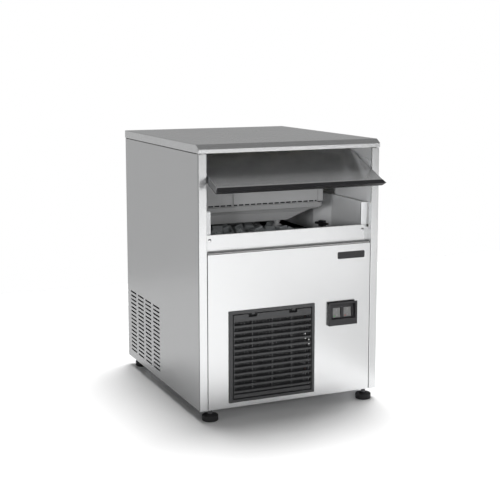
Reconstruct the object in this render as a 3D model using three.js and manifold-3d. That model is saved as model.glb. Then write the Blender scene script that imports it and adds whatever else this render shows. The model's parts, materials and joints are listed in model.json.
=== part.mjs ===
// Under-counter ice maker, millimetres, +Z up.
// It is modelled in cabinet coordinates: X from the left side, Y from the front face towards the
// back, Z from the underside of the body. The last lines move the whole machine so that the
// origin is at the middle of its footprint, on the floor. The door is shown part way open.
import * as THREE from 'three';
import { mergeVertices } from 'three/addons/utils/BufferGeometryUtils.js';
import Module from 'manifold-3d';

const wasm = await Module();
wasm.setup();

// ---- driving dimensions -------------------------------------------------------------------
const WIDTH = 500;
const DEPTH = 580;
const BODY_HEIGHT = 641;
const LID_HEIGHT = 21;
const FOOT_HEIGHT = 28;
const SHEET = 1.2;          // steel sheet
const WALL = 3;             // moulded plastic wall
const GAP = 0.3;            // clearance between touching pieces
const PILLAR = 21;          // front flange of each side panel
const RETURN = 14;          // depth of the fold behind that flange
const PANEL_TOP = 393.5;    // top of the lower front panel
const SILL = 438.5;         // lower edge of the door opening
const LEDGE = 497;          // height where the liner steps out towards the sides
const TUB_FLOOR = 272;      // inside floor of the ice bin
const LINER_FRONT = 22;
const LINER_BACK = 520;
const FLANGE_EDGE = 13;     // outer edge of the liner's front flanges, behind the pillars
const CHEEK_BACK = 200;     // rear edge of the door guides
const SHELF = 255;          // sheet that carries the bin over the machine room
const BACK_SHEET = 577.3;
const PAN_EDGE = 16.5;      // height of the base pan's folded edge

// Cooling slots of a side panel: four columns, given by where each starts and ends.
const SLOTS = {
  columns: [[300, 352], [370, 419], [435, 484], [501, 549]], rows: 16, pitch: 11.5, lowest: 24.5,
  half: 2.4,
};
// Cooling slots of the back panel.
const VENTS = { x: [140, 262], length: 100, rows: 7, pitch: 18, lowest: 80, height: 6 };
const LID_LIP = 650.5;      // where the lid's upright lip meets its sloping edge
const LID_SLOPE_BACK = 13.6;
const LID_FRONT = -2.4;
const LID_SKIN = 1.5;

const DOOR_WIDTH = 455;
const DOOR_ABOVE_PIN = 45;
const DOOR_BELOW_PIN = 162.5;
const DOOR_FACE = -8;       // outer face, measured from the pin axis, door closed
const DOOR_PAN = 15;        // depth of the folded steel pan
const DOOR_PIN_R = 4.5;
const HANDLE_NOSE = 19;
const HANDLE_DEPTH = 16;
const DOOR_OPEN = 68.5;     // degrees between shut and the pose shown
const PIN_Y = 96.6;         // pin axis in the pose shown
const PIN_Z = 616.5;
const GROOVE_R = 5;
const GROOVE_BEND = 30;

const GRILLE = { x0: 77, x1: 315.5, z0: 12.7, z1: 247 };
const GRILLE_HINGE = { y: 0, z: 25 };
const SLAT_PITCH = 15.25;
const SLAT_OPENING = 9.4;
const SLAT_COUNT = 12;
const BEZEL = { x0: 354.5, x1: 436.5, z0: 183, z1: 244.7 };
const ROCKER = { width: 22, height: 25, z: 215, x: [379.5, 411] };
const ROCKER_TILT = 6;      // degrees, one end pressed in

const FEET = [
  ['front_left', 31, 12], ['front_right', WIDTH - 31, 12],
  ['rear_left', 31, 545], ['rear_right', WIDTH - 31, 545],
];
const STUD_R = 6;
const UNIT = { x0: 79, x1: 413, y0: 140, y1: 350, z0: 487, z1: 606 };
const COVER_SPLIT = 149.3;  // joint between the two covers of the ice-making unit
const DASH_PITCH = 17;
const FAN = { x: 197, z: 128 };
const COMPRESSOR = { x: 170, y: 330 };
const WATER = { x: 90, inlet: 222, drain: 60 };
const GLAND = { x: 420, z: 60 };

// ---- materials -----------------------------------------------------------------------------
const finish = (color, roughness, metalness) => ({ color, roughness, metalness });
const steel = finish(0xb9babb, 0.35, 0.9);
const galvanised = finish(0x9a9da0, 0.5, 0.8);
const blackPlastic = finish(0x26272a, 0.5, 0);
const greyPlastic = finish(0x55575b, 0.5, 0);
const whitePlastic = finish(0xe6e7e8, 0.45, 0);
const rubber = finish(0x1c1c1d, 0.8, 0);
const foam = finish(0xe4d9a8, 0.9, 0);
const copper = finish(0xb06a3c, 0.35, 1);
const aluminium = finish(0xc7c9cb, 0.4, 0.9);
const blackPaint = finish(0x141414, 0.4, 0.2);
const lens = finish(0x8b8d8c, 0.3, 0);

// ---- modelling helpers ---------------------------------------------------------------------
function box(x0, x1, y0, y1, z0, z1) {
  const shape = new THREE.BoxGeometry(x1 - x0, y1 - y0, z1 - z0);
  return shape.translate((x0 + x1) / 2, (y0 + y1) / 2, (z0 + z1) / 2);
}

const outline = (points) => new THREE.Shape(points.map(([u, v]) => new THREE.Vector2(u, v)));

function extruded(shape, length) {
  return new THREE.ExtrudeGeometry(shape, { depth: length, bevelEnabled: false, curveSegments: 10 });
}

// The outline lies in Y and Z and runs along X.
function alongX(shape, x0, x1) {
  const turn = new THREE.Matrix4().makeBasis(
    new THREE.Vector3(0, 1, 0), new THREE.Vector3(0, 0, 1), new THREE.Vector3(1, 0, 0));
  return extruded(shape, x1 - x0).applyMatrix4(turn).translate(x0, 0, 0);
}

// The outline lies in X and Z and runs along Y.
function alongY(shape, y0, y1) {
  const turn = new THREE.Matrix4().makeBasis(
    new THREE.Vector3(1, 0, 0), new THREE.Vector3(0, 0, 1), new THREE.Vector3(0, -1, 0));
  return extruded(shape, y1 - y0).applyMatrix4(turn).translate(0, y1, 0);
}

// The outline lies in X and Y and runs along Z.
function alongZ(shape, z0, z1) {
  return extruded(shape, z1 - z0).translate(0, 0, z0);
}

// A turned piece: its profile is pairs of radius and height, starting and ending on the axis.
function turned(profile, segments = 20) {
  const points = profile.map(([r, h]) => new THREE.Vector2(r, h));
  return new THREE.LatheGeometry(points, segments).rotateX(Math.PI / 2);
}

function cylinderZ(r, z0, z1, segments = 20) {
  return turned([[0, z0], [r, z0], [r, z1], [0, z1]], segments);
}

function cylinderX(r, x0, x1, segments = 20) {
  return cylinderZ(r, x0, x1, segments).rotateY(Math.PI / 2);
}

function cylinderY(r, y0, y1, segments = 20) {
  return cylinderZ(r, -y1, -y0, segments).rotateX(Math.PI / 2);
}

function tube(points, r, steps, sides = 6) {
  const path = new THREE.CatmullRomCurve3(points.map((p) => new THREE.Vector3(...p)), false,
    'centripetal');
  const section = new THREE.Shape();
  for (let i = 0; i < sides; i += 1) {
    const angle = (2 * Math.PI * i) / sides;
    section[i === 0 ? 'moveTo' : 'lineTo'](r * Math.cos(angle), r * Math.sin(angle));
  }
  section.closePath();
  return new THREE.ExtrudeGeometry(section, { steps, bevelEnabled: false, extrudePath: path });
}

// A closed three.js geometry as a solid. A cut or joined one already shares its vertices.
function solid(geometry) {
  let source = geometry;
  if (geometry.hasAttribute('normal')) {
    source = geometry.clone();
    source.deleteAttribute('normal');
    source.deleteAttribute('uv');
    source = mergeVertices(source, 1e-4);
  }
  const corners = source.index.array;
  const faces = [];
  for (let i = 0; i < corners.length; i += 3) {
    const [a, b, c] = [corners[i], corners[i + 1], corners[i + 2]];
    if (a !== b && b !== c && c !== a) faces.push(a, b, c);
  }
  return new wasm.Manifold(new wasm.Mesh({
    numProp: 3,
    vertProperties: new Float32Array(source.attributes.position.array),
    triVerts: new Uint32Array(faces),
  }));
}

function geometryOf(manifold) {
  const mesh = manifold.getMesh();
  const shared = new Map();
  mesh.mergeFromVert?.forEach((from, i) => shared.set(from, mesh.mergeToVert[i]));
  const geometry = new THREE.BufferGeometry();
  geometry.setAttribute('position', new THREE.BufferAttribute(mesh.vertProperties, 3));
  const corners = mesh.triVerts.map((vertex) => shared.get(vertex) ?? vertex);
  geometry.setIndex(new THREE.BufferAttribute(corners, 1));
  return geometry;
}

const sum = (shapes) => shapes.map(solid).reduce((whole, next) => whole.add(next));

// Joins the first list of shapes and takes the second list away.
function carve(shapes, cuts = []) {
  const whole = sum(shapes);
  return geometryOf(cuts.length ? whole.subtract(sum(cuts)) : whole);
}

const cabinet = new THREE.Group();

function add(name, geometry, look, parent = cabinet) {
  const material = new THREE.MeshStandardMaterial({ ...look, flatShading: true });
  const mesh = new THREE.Mesh(geometryOf(solid(geometry)), material);
  mesh.name = name;
  parent.add(mesh);
  return mesh;
}

// Mirrors a shape of the left side to the right side.
function mirrored(geometry) {
  return geometryOf(solid(geometry).mirror([1, 0, 0]).translate([WIDTH, 0, 0]));
}

// ---- outer casing --------------------------------------------------------------------------
// Side panel: one folded sheet with a front flange, its return, a rear and a top flange, and
// four columns of louvre slots beside the machine room.
function sidePanel() {
  const rear = DEPTH - SHEET;
  const section = outline([
    [0, 0], [PILLAR, 0], [PILLAR, RETURN], [PILLAR - SHEET, RETURN], [PILLAR - SHEET, SHEET],
    [SHEET, SHEET], [SHEET, rear], [RETURN, rear], [RETURN, DEPTH], [0, DEPTH],
  ]);
  const topFlange = box(SHEET / 2, RETURN, 18, rear + SHEET / 2, BODY_HEIGHT - SHEET, BODY_HEIGHT);
  const cuts = [box(SHEET + 1, PILLAR + 1, SHEET, RETURN + 1, LEDGE - 0.5, BODY_HEIGHT + 1)];
  for (const [y0, y1] of SLOTS.columns) {
    for (let row = 0; row < SLOTS.rows; row += 1) {
      const z = SLOTS.lowest + SLOTS.pitch * row;
      cuts.push(box(-1, SHEET + 1, y0, y1, z - SLOTS.half, z + SLOTS.half));
    }
  }
  return carve([alongZ(section, 0, BODY_HEIGHT), topFlange], cuts);
}
add('left_side_panel', sidePanel(), steel);
add('right_side_panel', mirrored(sidePanel()), steel);

// Lid: a deep-drawn tray turned upside down, with a vertical front lip and a sloping bevel.
function lid() {
  const low = BODY_HEIGHT + GAP;
  const top = BODY_HEIGHT + LID_HEIGHT;
  const back = DEPTH + 1;
  const outer = outline([[LID_FRONT, low], [LID_FRONT, LID_LIP], [LID_SLOPE_BACK, top],
    [back, top], [back, low]]);
  const inner = outline([
    [LID_FRONT + LID_SKIN, low - 1], [LID_FRONT + LID_SKIN, LID_LIP - 0.7],
    [LID_SLOPE_BACK + 0.6, top - LID_SKIN], [back - LID_SKIN, top - LID_SKIN],
    [back - LID_SKIN, low - 1],
  ]);
  return carve([alongX(outer, -1, WIDTH + 1)],
    [alongX(inner, LID_SKIN - 1, WIDTH + 1 - LID_SKIN)]);
}
add('lid', lid(), steel);
add('lid_insulation', box(3, WIDTH - 3, 185, 574, BODY_HEIGHT + 2, BODY_HEIGHT + 18), foam);

function backPanel() {
  const holes = [
    cylinderY(14, 570, DEPTH, 16).translate(WATER.x, 0, WATER.inlet),
    cylinderY(13.5, 570, DEPTH, 16).translate(WATER.x, 0, WATER.drain),
    cylinderY(9, 570, DEPTH, 16).translate(GLAND.x, 0, GLAND.z),
  ];
  for (let row = 0; row < VENTS.rows; row += 1) {
    const z = VENTS.lowest + VENTS.pitch * row;
    for (const x of VENTS.x) holes.push(box(x, x + VENTS.length, 570, DEPTH, z, z + VENTS.height));
  }
  return carve([box(1.8, WIDTH - 1.8, BACK_SHEET, BACK_SHEET + SHEET, 2, BODY_HEIGHT - 1.6)],
    holes);
}
add('back_panel', backPanel(), steel);

// Base pan: a folded tray, narrower where it reaches between the two front pillars.
function basePan() {
  const skin = 1.5;
  const pan = (inset, z0, z1) => [
    box(skin + inset, WIDTH - skin - inset, RETURN + 0.5 + inset, BACK_SHEET - GAP - inset, z0, z1),
    box(23 + inset, WIDTH - 23 - inset, skin + inset, 40, z0, z1),
  ];
  const holes = FEET.map(([, x, y]) => cylinderZ(STUD_R + GAP, -1, 5, 16).translate(x, y, 0));
  return carve(pan(0, 0, PAN_EDGE), [...pan(skin, skin, PAN_EDGE + 1), ...holes]);
}
add('base_pan', basePan(), galvanised);

// Lower front panel: a flat sheet with folded sides and a ledge along its top.
function frontPanel() {
  const x0 = PILLAR + 0.5;
  const x1 = WIDTH - x0;
  return carve([
    box(x0, x1, 0, SHEET, 0.5, PANEL_TOP),
    box(x0, x1, SHEET / 2, 18, PANEL_TOP - SHEET, PANEL_TOP),
    box(x0, x0 + SHEET, SHEET / 2, RETURN, 20, PANEL_TOP - SHEET / 2),
    box(x1 - SHEET, x1, SHEET / 2, RETURN, 20, PANEL_TOP - SHEET / 2),
  ], [
    box(GRILLE.x0 + 7, GRILLE.x1 - 4.5, -1, 2, GRILLE.z0 + 3.8, GRILLE.z1 - 4.5),
    box(BEZEL.x0 + 5, BEZEL.x1 - 5, -1, 2, BEZEL.z0 + 5, BEZEL.z1 - 5),
  ]);
}
add('front_panel', frontPanel(), steel);

// Sill strip: set back behind the door's lower edge, held by a pan-head screw at each end.
const STRIP_Y = 19.5;
const SCREWS = [['left', 35.5], ['right', WIDTH - 35.5]];
const SCREW_Z = 425;
add('sill_strip', carve([box(15, WIDTH - 15, STRIP_Y, STRIP_Y + SHEET, 380, SILL)],
  SCREWS.map(([, x]) => cylinderY(2.2, 15, 25, 12).translate(x, 0, SCREW_Z))), steel);
for (const [side, x] of SCREWS) {
  const head = STRIP_Y - GAP;
  const profile = [[0, -head + 2.6], [2.2, -head + 2.5], [4.4, -head + 1.2], [4.4, -head],
    [1.8, -head], [1.8, -head - 2], [0, -head - 2]];
  add(`sill_screw_${side}`, turned(profile.reverse(), 14).rotateX(Math.PI / 2)
    .translate(x, 0, SCREW_Z), steel);
}

// ---- feet ----------------------------------------------------------------------------------
// Levelling foot: a threaded steel stud with a pad moulded on its end, screwed into the pan.
for (const [corner, x, y] of FEET) {
  const profile = [[0, 0], [18.5, 0], [20.5, 2], [20.5, 12.5], [17, 16.5], [12.5, 18], [10, 17.5],
    [8.5, 11], [STUD_R, 11], [STUD_R, 40], [0, 40]];
  add(`foot_${corner}`, turned(profile, 20).translate(x, y, -FOOT_HEIGHT), rubber);
}

// ---- ice bin -------------------------------------------------------------------------------
// Plan of the tub, grown outwards by a wall thickness: the sides draw in behind the front part.
function tubPlan(grow) {
  const left = [[30 - grow, LINER_FRONT + WALL - grow], [30 - grow, 201 + grow * 0.4],
    [55 - grow, 262 + grow * 0.4], [55 - grow, LINER_BACK + grow]];
  const right = left.map(([x, y]) => [WIDTH - x, y]).reverse();
  return outline([...left, ...right]);
}

function linerOuter(grow) {
  return [
    alongZ(tubPlan(WALL + grow), TUB_FLOOR - WALL - grow, LEDGE),
    box(9 - grow, WIDTH - 9 + grow, LINER_FRONT - grow, LINER_BACK + WALL + grow,
      LEDGE - WALL - grow, BODY_HEIGHT - 2),
  ];
}

const PIPE_SLOT = box(362, 382, LINER_BACK - 5, 560, 580, 608);
const BIN_DRAIN = { x: 250, y: 300 };

function binLiner() {
  const front = LINER_FRONT - 1;
  return carve([
    ...linerOuter(0),
    box(FLANGE_EDGE, 39, LINER_FRONT, LINER_FRONT + WALL, 436, LEDGE),
    box(WIDTH - 39, WIDTH - FLANGE_EDGE, LINER_FRONT, LINER_FRONT + WALL, 436, LEDGE),
  ], [
    alongZ(tubPlan(0), TUB_FLOOR, LEDGE + 1),
    box(12, WIDTH - 12, front, LINER_BACK, LEDGE, BODY_HEIGHT),
    box(39, WIDTH - 39, front, LINER_FRONT + WALL + 1, SILL - 0.3, LEDGE + 1),
    cylinderZ(8, 260, 280, 16).translate(BIN_DRAIN.x, BIN_DRAIN.y, 0),
    PIPE_SLOT,
  ]);
}
add('bin_liner', binLiner(), whitePlastic);

function binInsulation() {
  return carve([box(1.8, WIDTH - 1.8, LINER_FRONT, 576, SHELF + 3, BODY_HEIGHT - 2)], [
    ...linerOuter(GAP),
    box(FLANGE_EDGE - 1, WIDTH - FLANGE_EDGE + 1, LINER_FRONT - 1, LINER_FRONT + WALL + GAP, 435,
      LEDGE),
    box(30, WIDTH - 30, LINER_FRONT - 1, LINER_BACK, LEDGE - 10, BODY_HEIGHT),
    cylinderZ(12, 250, 280, 16).translate(BIN_DRAIN.x, BIN_DRAIN.y, 0),
    box(362, 382, LINER_BACK, 565, 250, 608),
    box(0, RETURN + GAP, LINER_FRONT - 1, 580, BODY_HEIGHT - 2.5, BODY_HEIGHT),
  ]);
}
add('bin_insulation', binInsulation(), foam);
add('machine_room_shelf', carve([box(1.8, WIDTH - 1.8, 18.5, 576, SHELF, SHELF + SHEET)], [
  cylinderZ(12, 250, 280, 16).translate(BIN_DRAIN.x, BIN_DRAIN.y, 0),
  box(362, 382, 530, 565, 250, 260),
]), galvanised);

// Door guides: moulded cheeks with a groove shaped like a J lying on its back.
function doorGuide() {
  const end = Math.asin(5.5 / GROOVE_BEND);
  const bend = { y: 40, z: PIN_Z - GROOVE_BEND };
  const groove = new THREE.Shape();
  groove.moveTo(178, PIN_Z + GROOVE_R);
  groove.absarc(bend.y, bend.z, GROOVE_BEND + GROOVE_R, Math.PI / 2, Math.PI - end, false);
  groove.absarc(bend.y - GROOVE_BEND * Math.cos(end), bend.z + GROOVE_BEND * Math.sin(end),
    GROOVE_R, Math.PI - end, 2 * Math.PI - end, false);
  groove.absarc(bend.y, bend.z, GROOVE_BEND - GROOVE_R, Math.PI - end, Math.PI / 2, true);
  groove.lineTo(178, PIN_Z - GROOVE_R);
  groove.absarc(178, PIN_Z, GROOVE_R, -Math.PI / 2, Math.PI / 2, false);
  return carve([box(12 + GAP, 19.8, 1.5, CHEEK_BACK, LEDGE + GAP, BODY_HEIGHT - 2)],
    [alongX(groove, 14.8, 25)]);
}
add('door_guide_left', doorGuide(), whitePlastic);
add('door_guide_right', mirrored(doorGuide()), whitePlastic);

function thermostatBulb() {
  const turn = Math.atan2(25, 61);
  return carve([
    box(-4, 4, -22, 22, -3.2, 3.2),
    box(-4, 9, -9, 9, -8, 8),
  ]).rotateZ(turn).translate(450.5, 222, 414);
}
add('bin_thermostat_bulb', thermostatBulb(), blackPlastic);

// ---- ice-making unit -----------------------------------------------------------------------
function evaporatorHousing() {
  const { x0, x1, y0, y1, z0, z1 } = UNIT;
  return carve([box(x0 - WALL, x1, y0 + 3, y1, z0 + 2, z1)], [
    box(x0, x1 - 17, y0, y1 - WALL, z0, z1 - WALL),
    box(x0, x1 - 10, y0 + 6, y1 - WALL, z0, z1 - WALL),
    box(x0, x1 - 10, y1 - WALL - 1, y1 + 1, z0, z0 + 14),
    box(362, 382, y1 - 10, y1 + 1, 580, z1 - WALL),
  ]);
}
add('evaporator_housing', evaporatorHousing(), whitePlastic);

// Covers of the unit: a fixed one and a swinging ice curtain, each with a row of drip slots.
function cover(x0, x1, z1) {
  const slots = [];
  for (let x = UNIT.x0 + 1.5; x < UNIT.x1 - 22; x += DASH_PITCH) {
    const [a, b] = [Math.max(x, x0 + 1.5), Math.min(x + DASH_PITCH - 3, x1 - 1.5)];
    if (b - a > 4) slots.push(box(a, b, UNIT.y0 - 1, UNIT.y0 + 4, UNIT.z0 + 1.5, UNIT.z0 + 5.5));
  }
  return carve([box(x0, x1, UNIT.y0, UNIT.y0 + 2.7, UNIT.z0, z1)], slots);
}
add('unit_side_cover', cover(UNIT.x0 - WALL, COVER_SPLIT - 0.5, UNIT.z1), whitePlastic);
const CURTAIN_X1 = UNIT.x1 - 17;
const CURTAIN_HINGE = { y: UNIT.y0 + 1.45, z: 597 };
add('ice_curtain', carve([
  cover(COVER_SPLIT + 0.5, CURTAIN_X1 - 1, CURTAIN_HINGE.z - 1),
  cylinderX(3, COVER_SPLIT + 0.5, CURTAIN_X1 - 1, 12)
    .translate(0, CURTAIN_HINGE.y, CURTAIN_HINGE.z),
], [cylinderX(1.6, COVER_SPLIT - 5, CURTAIN_X1 + 5, 8)
  .translate(0, CURTAIN_HINGE.y, CURTAIN_HINGE.z)]), whitePlastic);
add('curtain_rod', cylinderX(1.25, COVER_SPLIT, CURTAIN_X1 - GAP, 10)
  .translate(0, CURTAIN_HINGE.y, CURTAIN_HINGE.z), steel);

// Evaporator: a tinned plate with downward cups, and the refrigerant coil lying on it.
function evaporatorPlate() {
  const cups = [];
  for (let i = 0; i < 7; i += 1) {
    for (let j = 0; j < 4; j += 1) {
      const x = 100 + 40 * i;
      const y = 172 + 40 * j;
      cups.push(box(x, x + 34, y, y + 34, 555, 585));
    }
  }
  return carve([box(94, 380, 166, 332, 560, 588)], cups);
}
add('evaporator_plate', evaporatorPlate(), aluminium);

function evaporatorCoil() {
  const points = [];
  for (let pass = 0; pass < 5; pass += 1) {
    const y = 180 + 35 * pass;
    const ends = pass % 2 === 0 ? [110, 160, 310, 360] : [360, 310, 160, 110];
    for (const x of ends) points.push([x, y, 593.5]);
  }
  points.push([372, 335, 593.5], [372, 344, 593.5]);
  return tube(points, 4, 44);
}
add('evaporator_coil', evaporatorCoil(), copper);

// Ice chute: a sloping slotted plate that lets the cubes slide forward to the curtain.
function iceChute() {
  const slots = [];
  for (let i = 0; i < 14; i += 1) {
    const x = 106 + 19 * i;
    slots.push(box(x, x + 11, 170, 320, 490, 560));
  }
  return carve([alongX(outline([[148, 503], [338, 540], [338, 544], [148, 507]]), 92, 390)], slots);
}
add('ice_chute', iceChute(), whitePlastic);

// Spray manifold: a tube across the unit with nozzles, fed from the pump behind it.
const FEED_X = 145;
function sprayManifold() {
  const nozzles = [];
  for (let i = 0; i < 7; i += 1) {
    nozzles.push(cylinderZ(4, 0, 14, 6).translate(117 + 40 * i, 240, 484));
  }
  return carve([
    cylinderX(7, 96, 388, 16).translate(0, 240, 484), ...nozzles,
    cylinderY(6, 240, 364, 12).translate(FEED_X, 0, 484),
  ]);
}
add('spray_manifold', sprayManifold(), greyPlastic);

// Water sump: a tray with a hopper-shaped bottom, hung under the unit.
function waterSump() {
  const section = (inset, top) => outline([
    [UNIT.x0 - WALL + inset, top], [UNIT.x0 - WALL + inset, 447 + inset * 0.5],
    [UNIT.x0 + 2 + inset * 0.5, 441 + inset],
    [313 - inset * 0.5, 441 + inset], [375 - inset * 0.5, 469 + inset],
    [398 - inset, 470.5 + inset], [405 - inset, 478 + inset], [407 - inset, top],
  ]);
  return carve([alongY(section(0, UNIT.z0 - 0.4), 138, 345)], [
    alongY(section(WALL, UNIT.z0 + 2), 138 + WALL, 345 - WALL),
    cylinderY(6.4, 338, 350, 12).translate(FEED_X, 0, 462),
    box(FEED_X - 6.4, FEED_X + 6.4, 338, 350, 477.6, 490),
  ]);
}
add('water_sump', waterSump(), whitePlastic);
// Water pump: a motor over its housing, with a suction pipe into the back of the sump.
add('water_pump', carve([
  turned([[0, 452], [24, 452], [30, 458], [30, 500], [20, 504], [20, 512], [27, 514], [27, 560],
    [22, 566], [0, 566]], 20),
  cylinderY(6, -53.5, -20, 12).translate(0, 0, 462),
]).translate(FEED_X, 394.5, 0), blackPlastic);

// ---- refrigeration and electrics -----------------------------------------------------------
function condenser() {
  const slots = [];
  for (let i = 0; i < 20; i += 1) slots.push(box(99 + 10 * i, 106 + 10 * i, 39, 79, 36, 220));
  const bends = [];
  for (let i = 0; i < 4; i += 1) {
    bends.push(box(302, 310, 52, 60, 50 + 45 * i, 80 + 45 * i));
  }
  return carve([box(92, 304, 40, 78, 28, 228), ...bends], slots);
}
add('condenser', condenser(), aluminium);

add('fan_shroud', carve([box(92, 304, 86, 90, 24, 232)],
  [cylinderY(90, 80, 95, 32).translate(FAN.x, 0, FAN.z)]), blackPaint);

const fan = new THREE.Group();
fan.position.set(FAN.x, 0, FAN.z);
cabinet.add(fan);
function fanBlade() {
  const hub = cylinderY(20, 94, 114, 20);
  const blades = [0, 1, 2, 3, 4].map((i) => {
    const shape = alongY(outline([[-12, 12], [12, 12], [24, 84], [-16, 84]]), -1, 1);
    return shape.rotateZ(0.42).translate(0, 104, 0).rotateY((2 * Math.PI * i) / 5);
  });
  return carve([hub, ...blades], [cylinderY(4 + GAP, 100, 120, 16)]);
}
add('fan_blade', fanBlade(), aluminium, fan);
// Fan motor: a shaded-pole motor on a strap that stands on the base pan.
add('fan_motor', carve([
  cylinderY(32, 122, 168, 24), cylinderY(4, 102, 123, 12),
  box(-26, 26, 167, 170, 2 - FAN.z, 20), box(-26, 26, 168, 192, 1.8 - FAN.z, 3.8 - FAN.z),
]).translate(FAN.x, 0, FAN.z), blackPaint);

// Compressor: a welded shell on a foot plate, which stands on four rubber grommets in one mat.
function compressor() {
  const shell = turned([[0, 26], [50, 27], [72, 42], [79, 62], [79, 112], [81, 114], [81, 120],
    [79, 122], [75, 156], [58, 182], [30, 194], [0, 197]], 20);
  const feet = [[-76, -68], [76, -68], [-76, 68], [76, 68]].map(([dx, dy]) => (
    turned([[0, 2], [10, 2], [8, 11], [10, 24], [0, 24]], 10)
      .translate(dx, dy, 0)));
  return carve([shell, box(-86, 86, -78, 78, 22, 27), box(60, 96, -26, 26, 84, 134), ...feet])
    .translate(COMPRESSOR.x, COMPRESSOR.y, 0);
}
add('compressor', compressor(), blackPaint);

add('filter_drier', turned([[0, 60], [4, 60], [4, 68], [14, 78], [14, 152], [4, 162], [4, 170],
  [0, 170]], 16).translate(330, 300, 0), copper);
add('discharge_pipe', tube([[235, 385, 150], [262, 400, 168], [290, 340, 190], [318, 200, 212],
  [332, 90, 205], [328, 58, 200], [312.5, 56, 198]], 3.2, 18), copper);
add('liquid_pipe', tube([[312.5, 56, 65], [326, 58, 62], [334, 110, 40], [334, 220, 30],
  [330, 288, 34], [330, 300, 48], [330, 300, 59.6]], 3.2, 20), copper);
add('suction_pipe', tube([[372, 344.4, 593.5], [372, 400, 593.5], [372, 520, 593.5],
  [372, 542, 586], [372, 547, 560], [372, 547, 300], [372, 547, 160], [364, 520, 132],
  [330, 420, 124], [300, 344, 120], [286, 330, 118], [266.6, 330, 118]], 4.5, 32), copper);

add('water_inlet_valve', carve([
  box(-20, 20, 535, 568, -18, 18),
  cylinderY(17, 567, 576.8, 16),
  cylinderY(13.2, 576, 602, 16),
  box(-14, 14, 522, 536, -30, 12),
], [cylinderY(8.5, 572, 603, 16)]).translate(WATER.x, 0, WATER.inlet), blackPlastic);
add('drain_fitting', carve([
  cylinderY(12.8, 560, 602, 20), cylinderY(17, 570, 576.8, 20),
], [cylinderY(9.5, 566, 603, 16)]).translate(WATER.x, 0, WATER.drain), greyPlastic);
add('bin_drain_hose', tube([[BIN_DRAIN.x, BIN_DRAIN.y, 268.6], [BIN_DRAIN.x, BIN_DRAIN.y, 245],
  [246, 318, 222], [200, 420, 216], [130, 500, 190], [96, 520, 120], [WATER.x, 516, 74],
  [WATER.x, 535, 60], [WATER.x, 559.6, 60]], 7, 26), greyPlastic);
add('cord_gland', carve([
  cylinderY(8.6, 570, 582, 16), cylinderY(13, 578.9, 586, 16), cylinderY(13, 572, 576.9, 16),
  cylinderY(9, 585, 592, 16),
], [cylinderY(4.2, 560, 600, 12)]).translate(GLAND.x, 0, GLAND.z), blackPlastic);
add('control_box', carve([box(346, 446, 50, 170, 140, 250)], [box(348, 444, 49, 168, 142, 248)]),
  galvanised);

// ---- front fittings ------------------------------------------------------------------------
// Grille frame: a flange in front of the panel, a sleeve through it and two latch tongues.
const LATCHES = [142.2, 254];
function grilleFrame() {
  const { x0, x1, z0, z1 } = GRILLE;
  return carve([
    box(x0, x1, -3, -GAP, z0, z1),
    box(x0 + 7.5, x1 - 5, -1, 12, z0 + 4.3, z1 - 5),
  ], [box(x0 + 10.3, x1 - 7.8, -4, 13, z0 + 7.3, z1 - 8)]);
}
function latchTongues() {
  return LATCHES.map((x) => box(x - 3, x + 6, -1.8, 4, 234.5, 240));
}
add('grille_frame', carve([grilleFrame(), ...latchTongues()]), greyPlastic);

// Grille: twelve louvre openings and a narrow last one, with three ribs behind the slats.
function grille() {
  const { x0, x1 } = GRILLE;
  const [left, right] = [x0 + 11, x1 - 8.5];
  const openings = [];
  for (let i = 0; i < SLAT_COUNT; i += 1) {
    const z = 219 - SLAT_OPENING - SLAT_PITCH * i;
    openings.push(box(left + 3.6, right - 2.5, -3, 7, z, z + SLAT_OPENING));
  }
  openings.push(box(left + 3.6, right - 2.5, -3, 7, 32, 36));
  for (const x of LATCHES) openings.push(box(x - 11.8, x + 11.8, -3, 7, 228.5, 240));
  const ribs = [0.25, 0.5, 0.75].map((share) => {
    const x = left + (right - left) * share;
    return box(x - 1.5, x + 1.5, 3, 5.9, 28, 224);
  });
  return geometryOf(solid(carve([box(left, right, -2, 6, 21, 238.2)], openings))
    .add(sum(ribs)));
}
const grilleDoor = new THREE.Group();
grilleDoor.position.set(0, GRILLE_HINGE.y, GRILLE_HINGE.z);
cabinet.add(grilleDoor);
add('grille', grille().translate(0, -GRILLE_HINGE.y, -GRILLE_HINGE.z), greyPlastic, grilleDoor);
add('air_filter', box(92, 303, 6.3, 11, 30, 225)
  .translate(0, -GRILLE_HINGE.y, -GRILLE_HINGE.z), blackPlastic, grilleDoor);

// Switch bezel: a raised hood around two rocker switches.
function bezel() {
  const { x0, x1, z0, z1 } = BEZEL;
  const hood = alongX(outline([[-GAP, z0], [-5, z0 + 1], [-5, z0 + 17], [-9, z1 - 3],
    [-7.5, z1], [-GAP, z1]]), x0, x1);
  const recess = box(x0 + 6, x1 - 6, -12, -3, z0 + 17, z1 - 6);
  const windows = ROCKER.x.map((x) => box(x - 12, x + 12, -12, 30, ROCKER.z - 13.5,
    ROCKER.z + 13.5));
  const body = box(x0 + 5.5, x1 - 5.5, -2, 24, z0 + 5.5, z1 - 5.5);
  return carve([hood, body], [recess, ...windows]);
}
add('switch_bezel', bezel(), blackPlastic);

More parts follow.
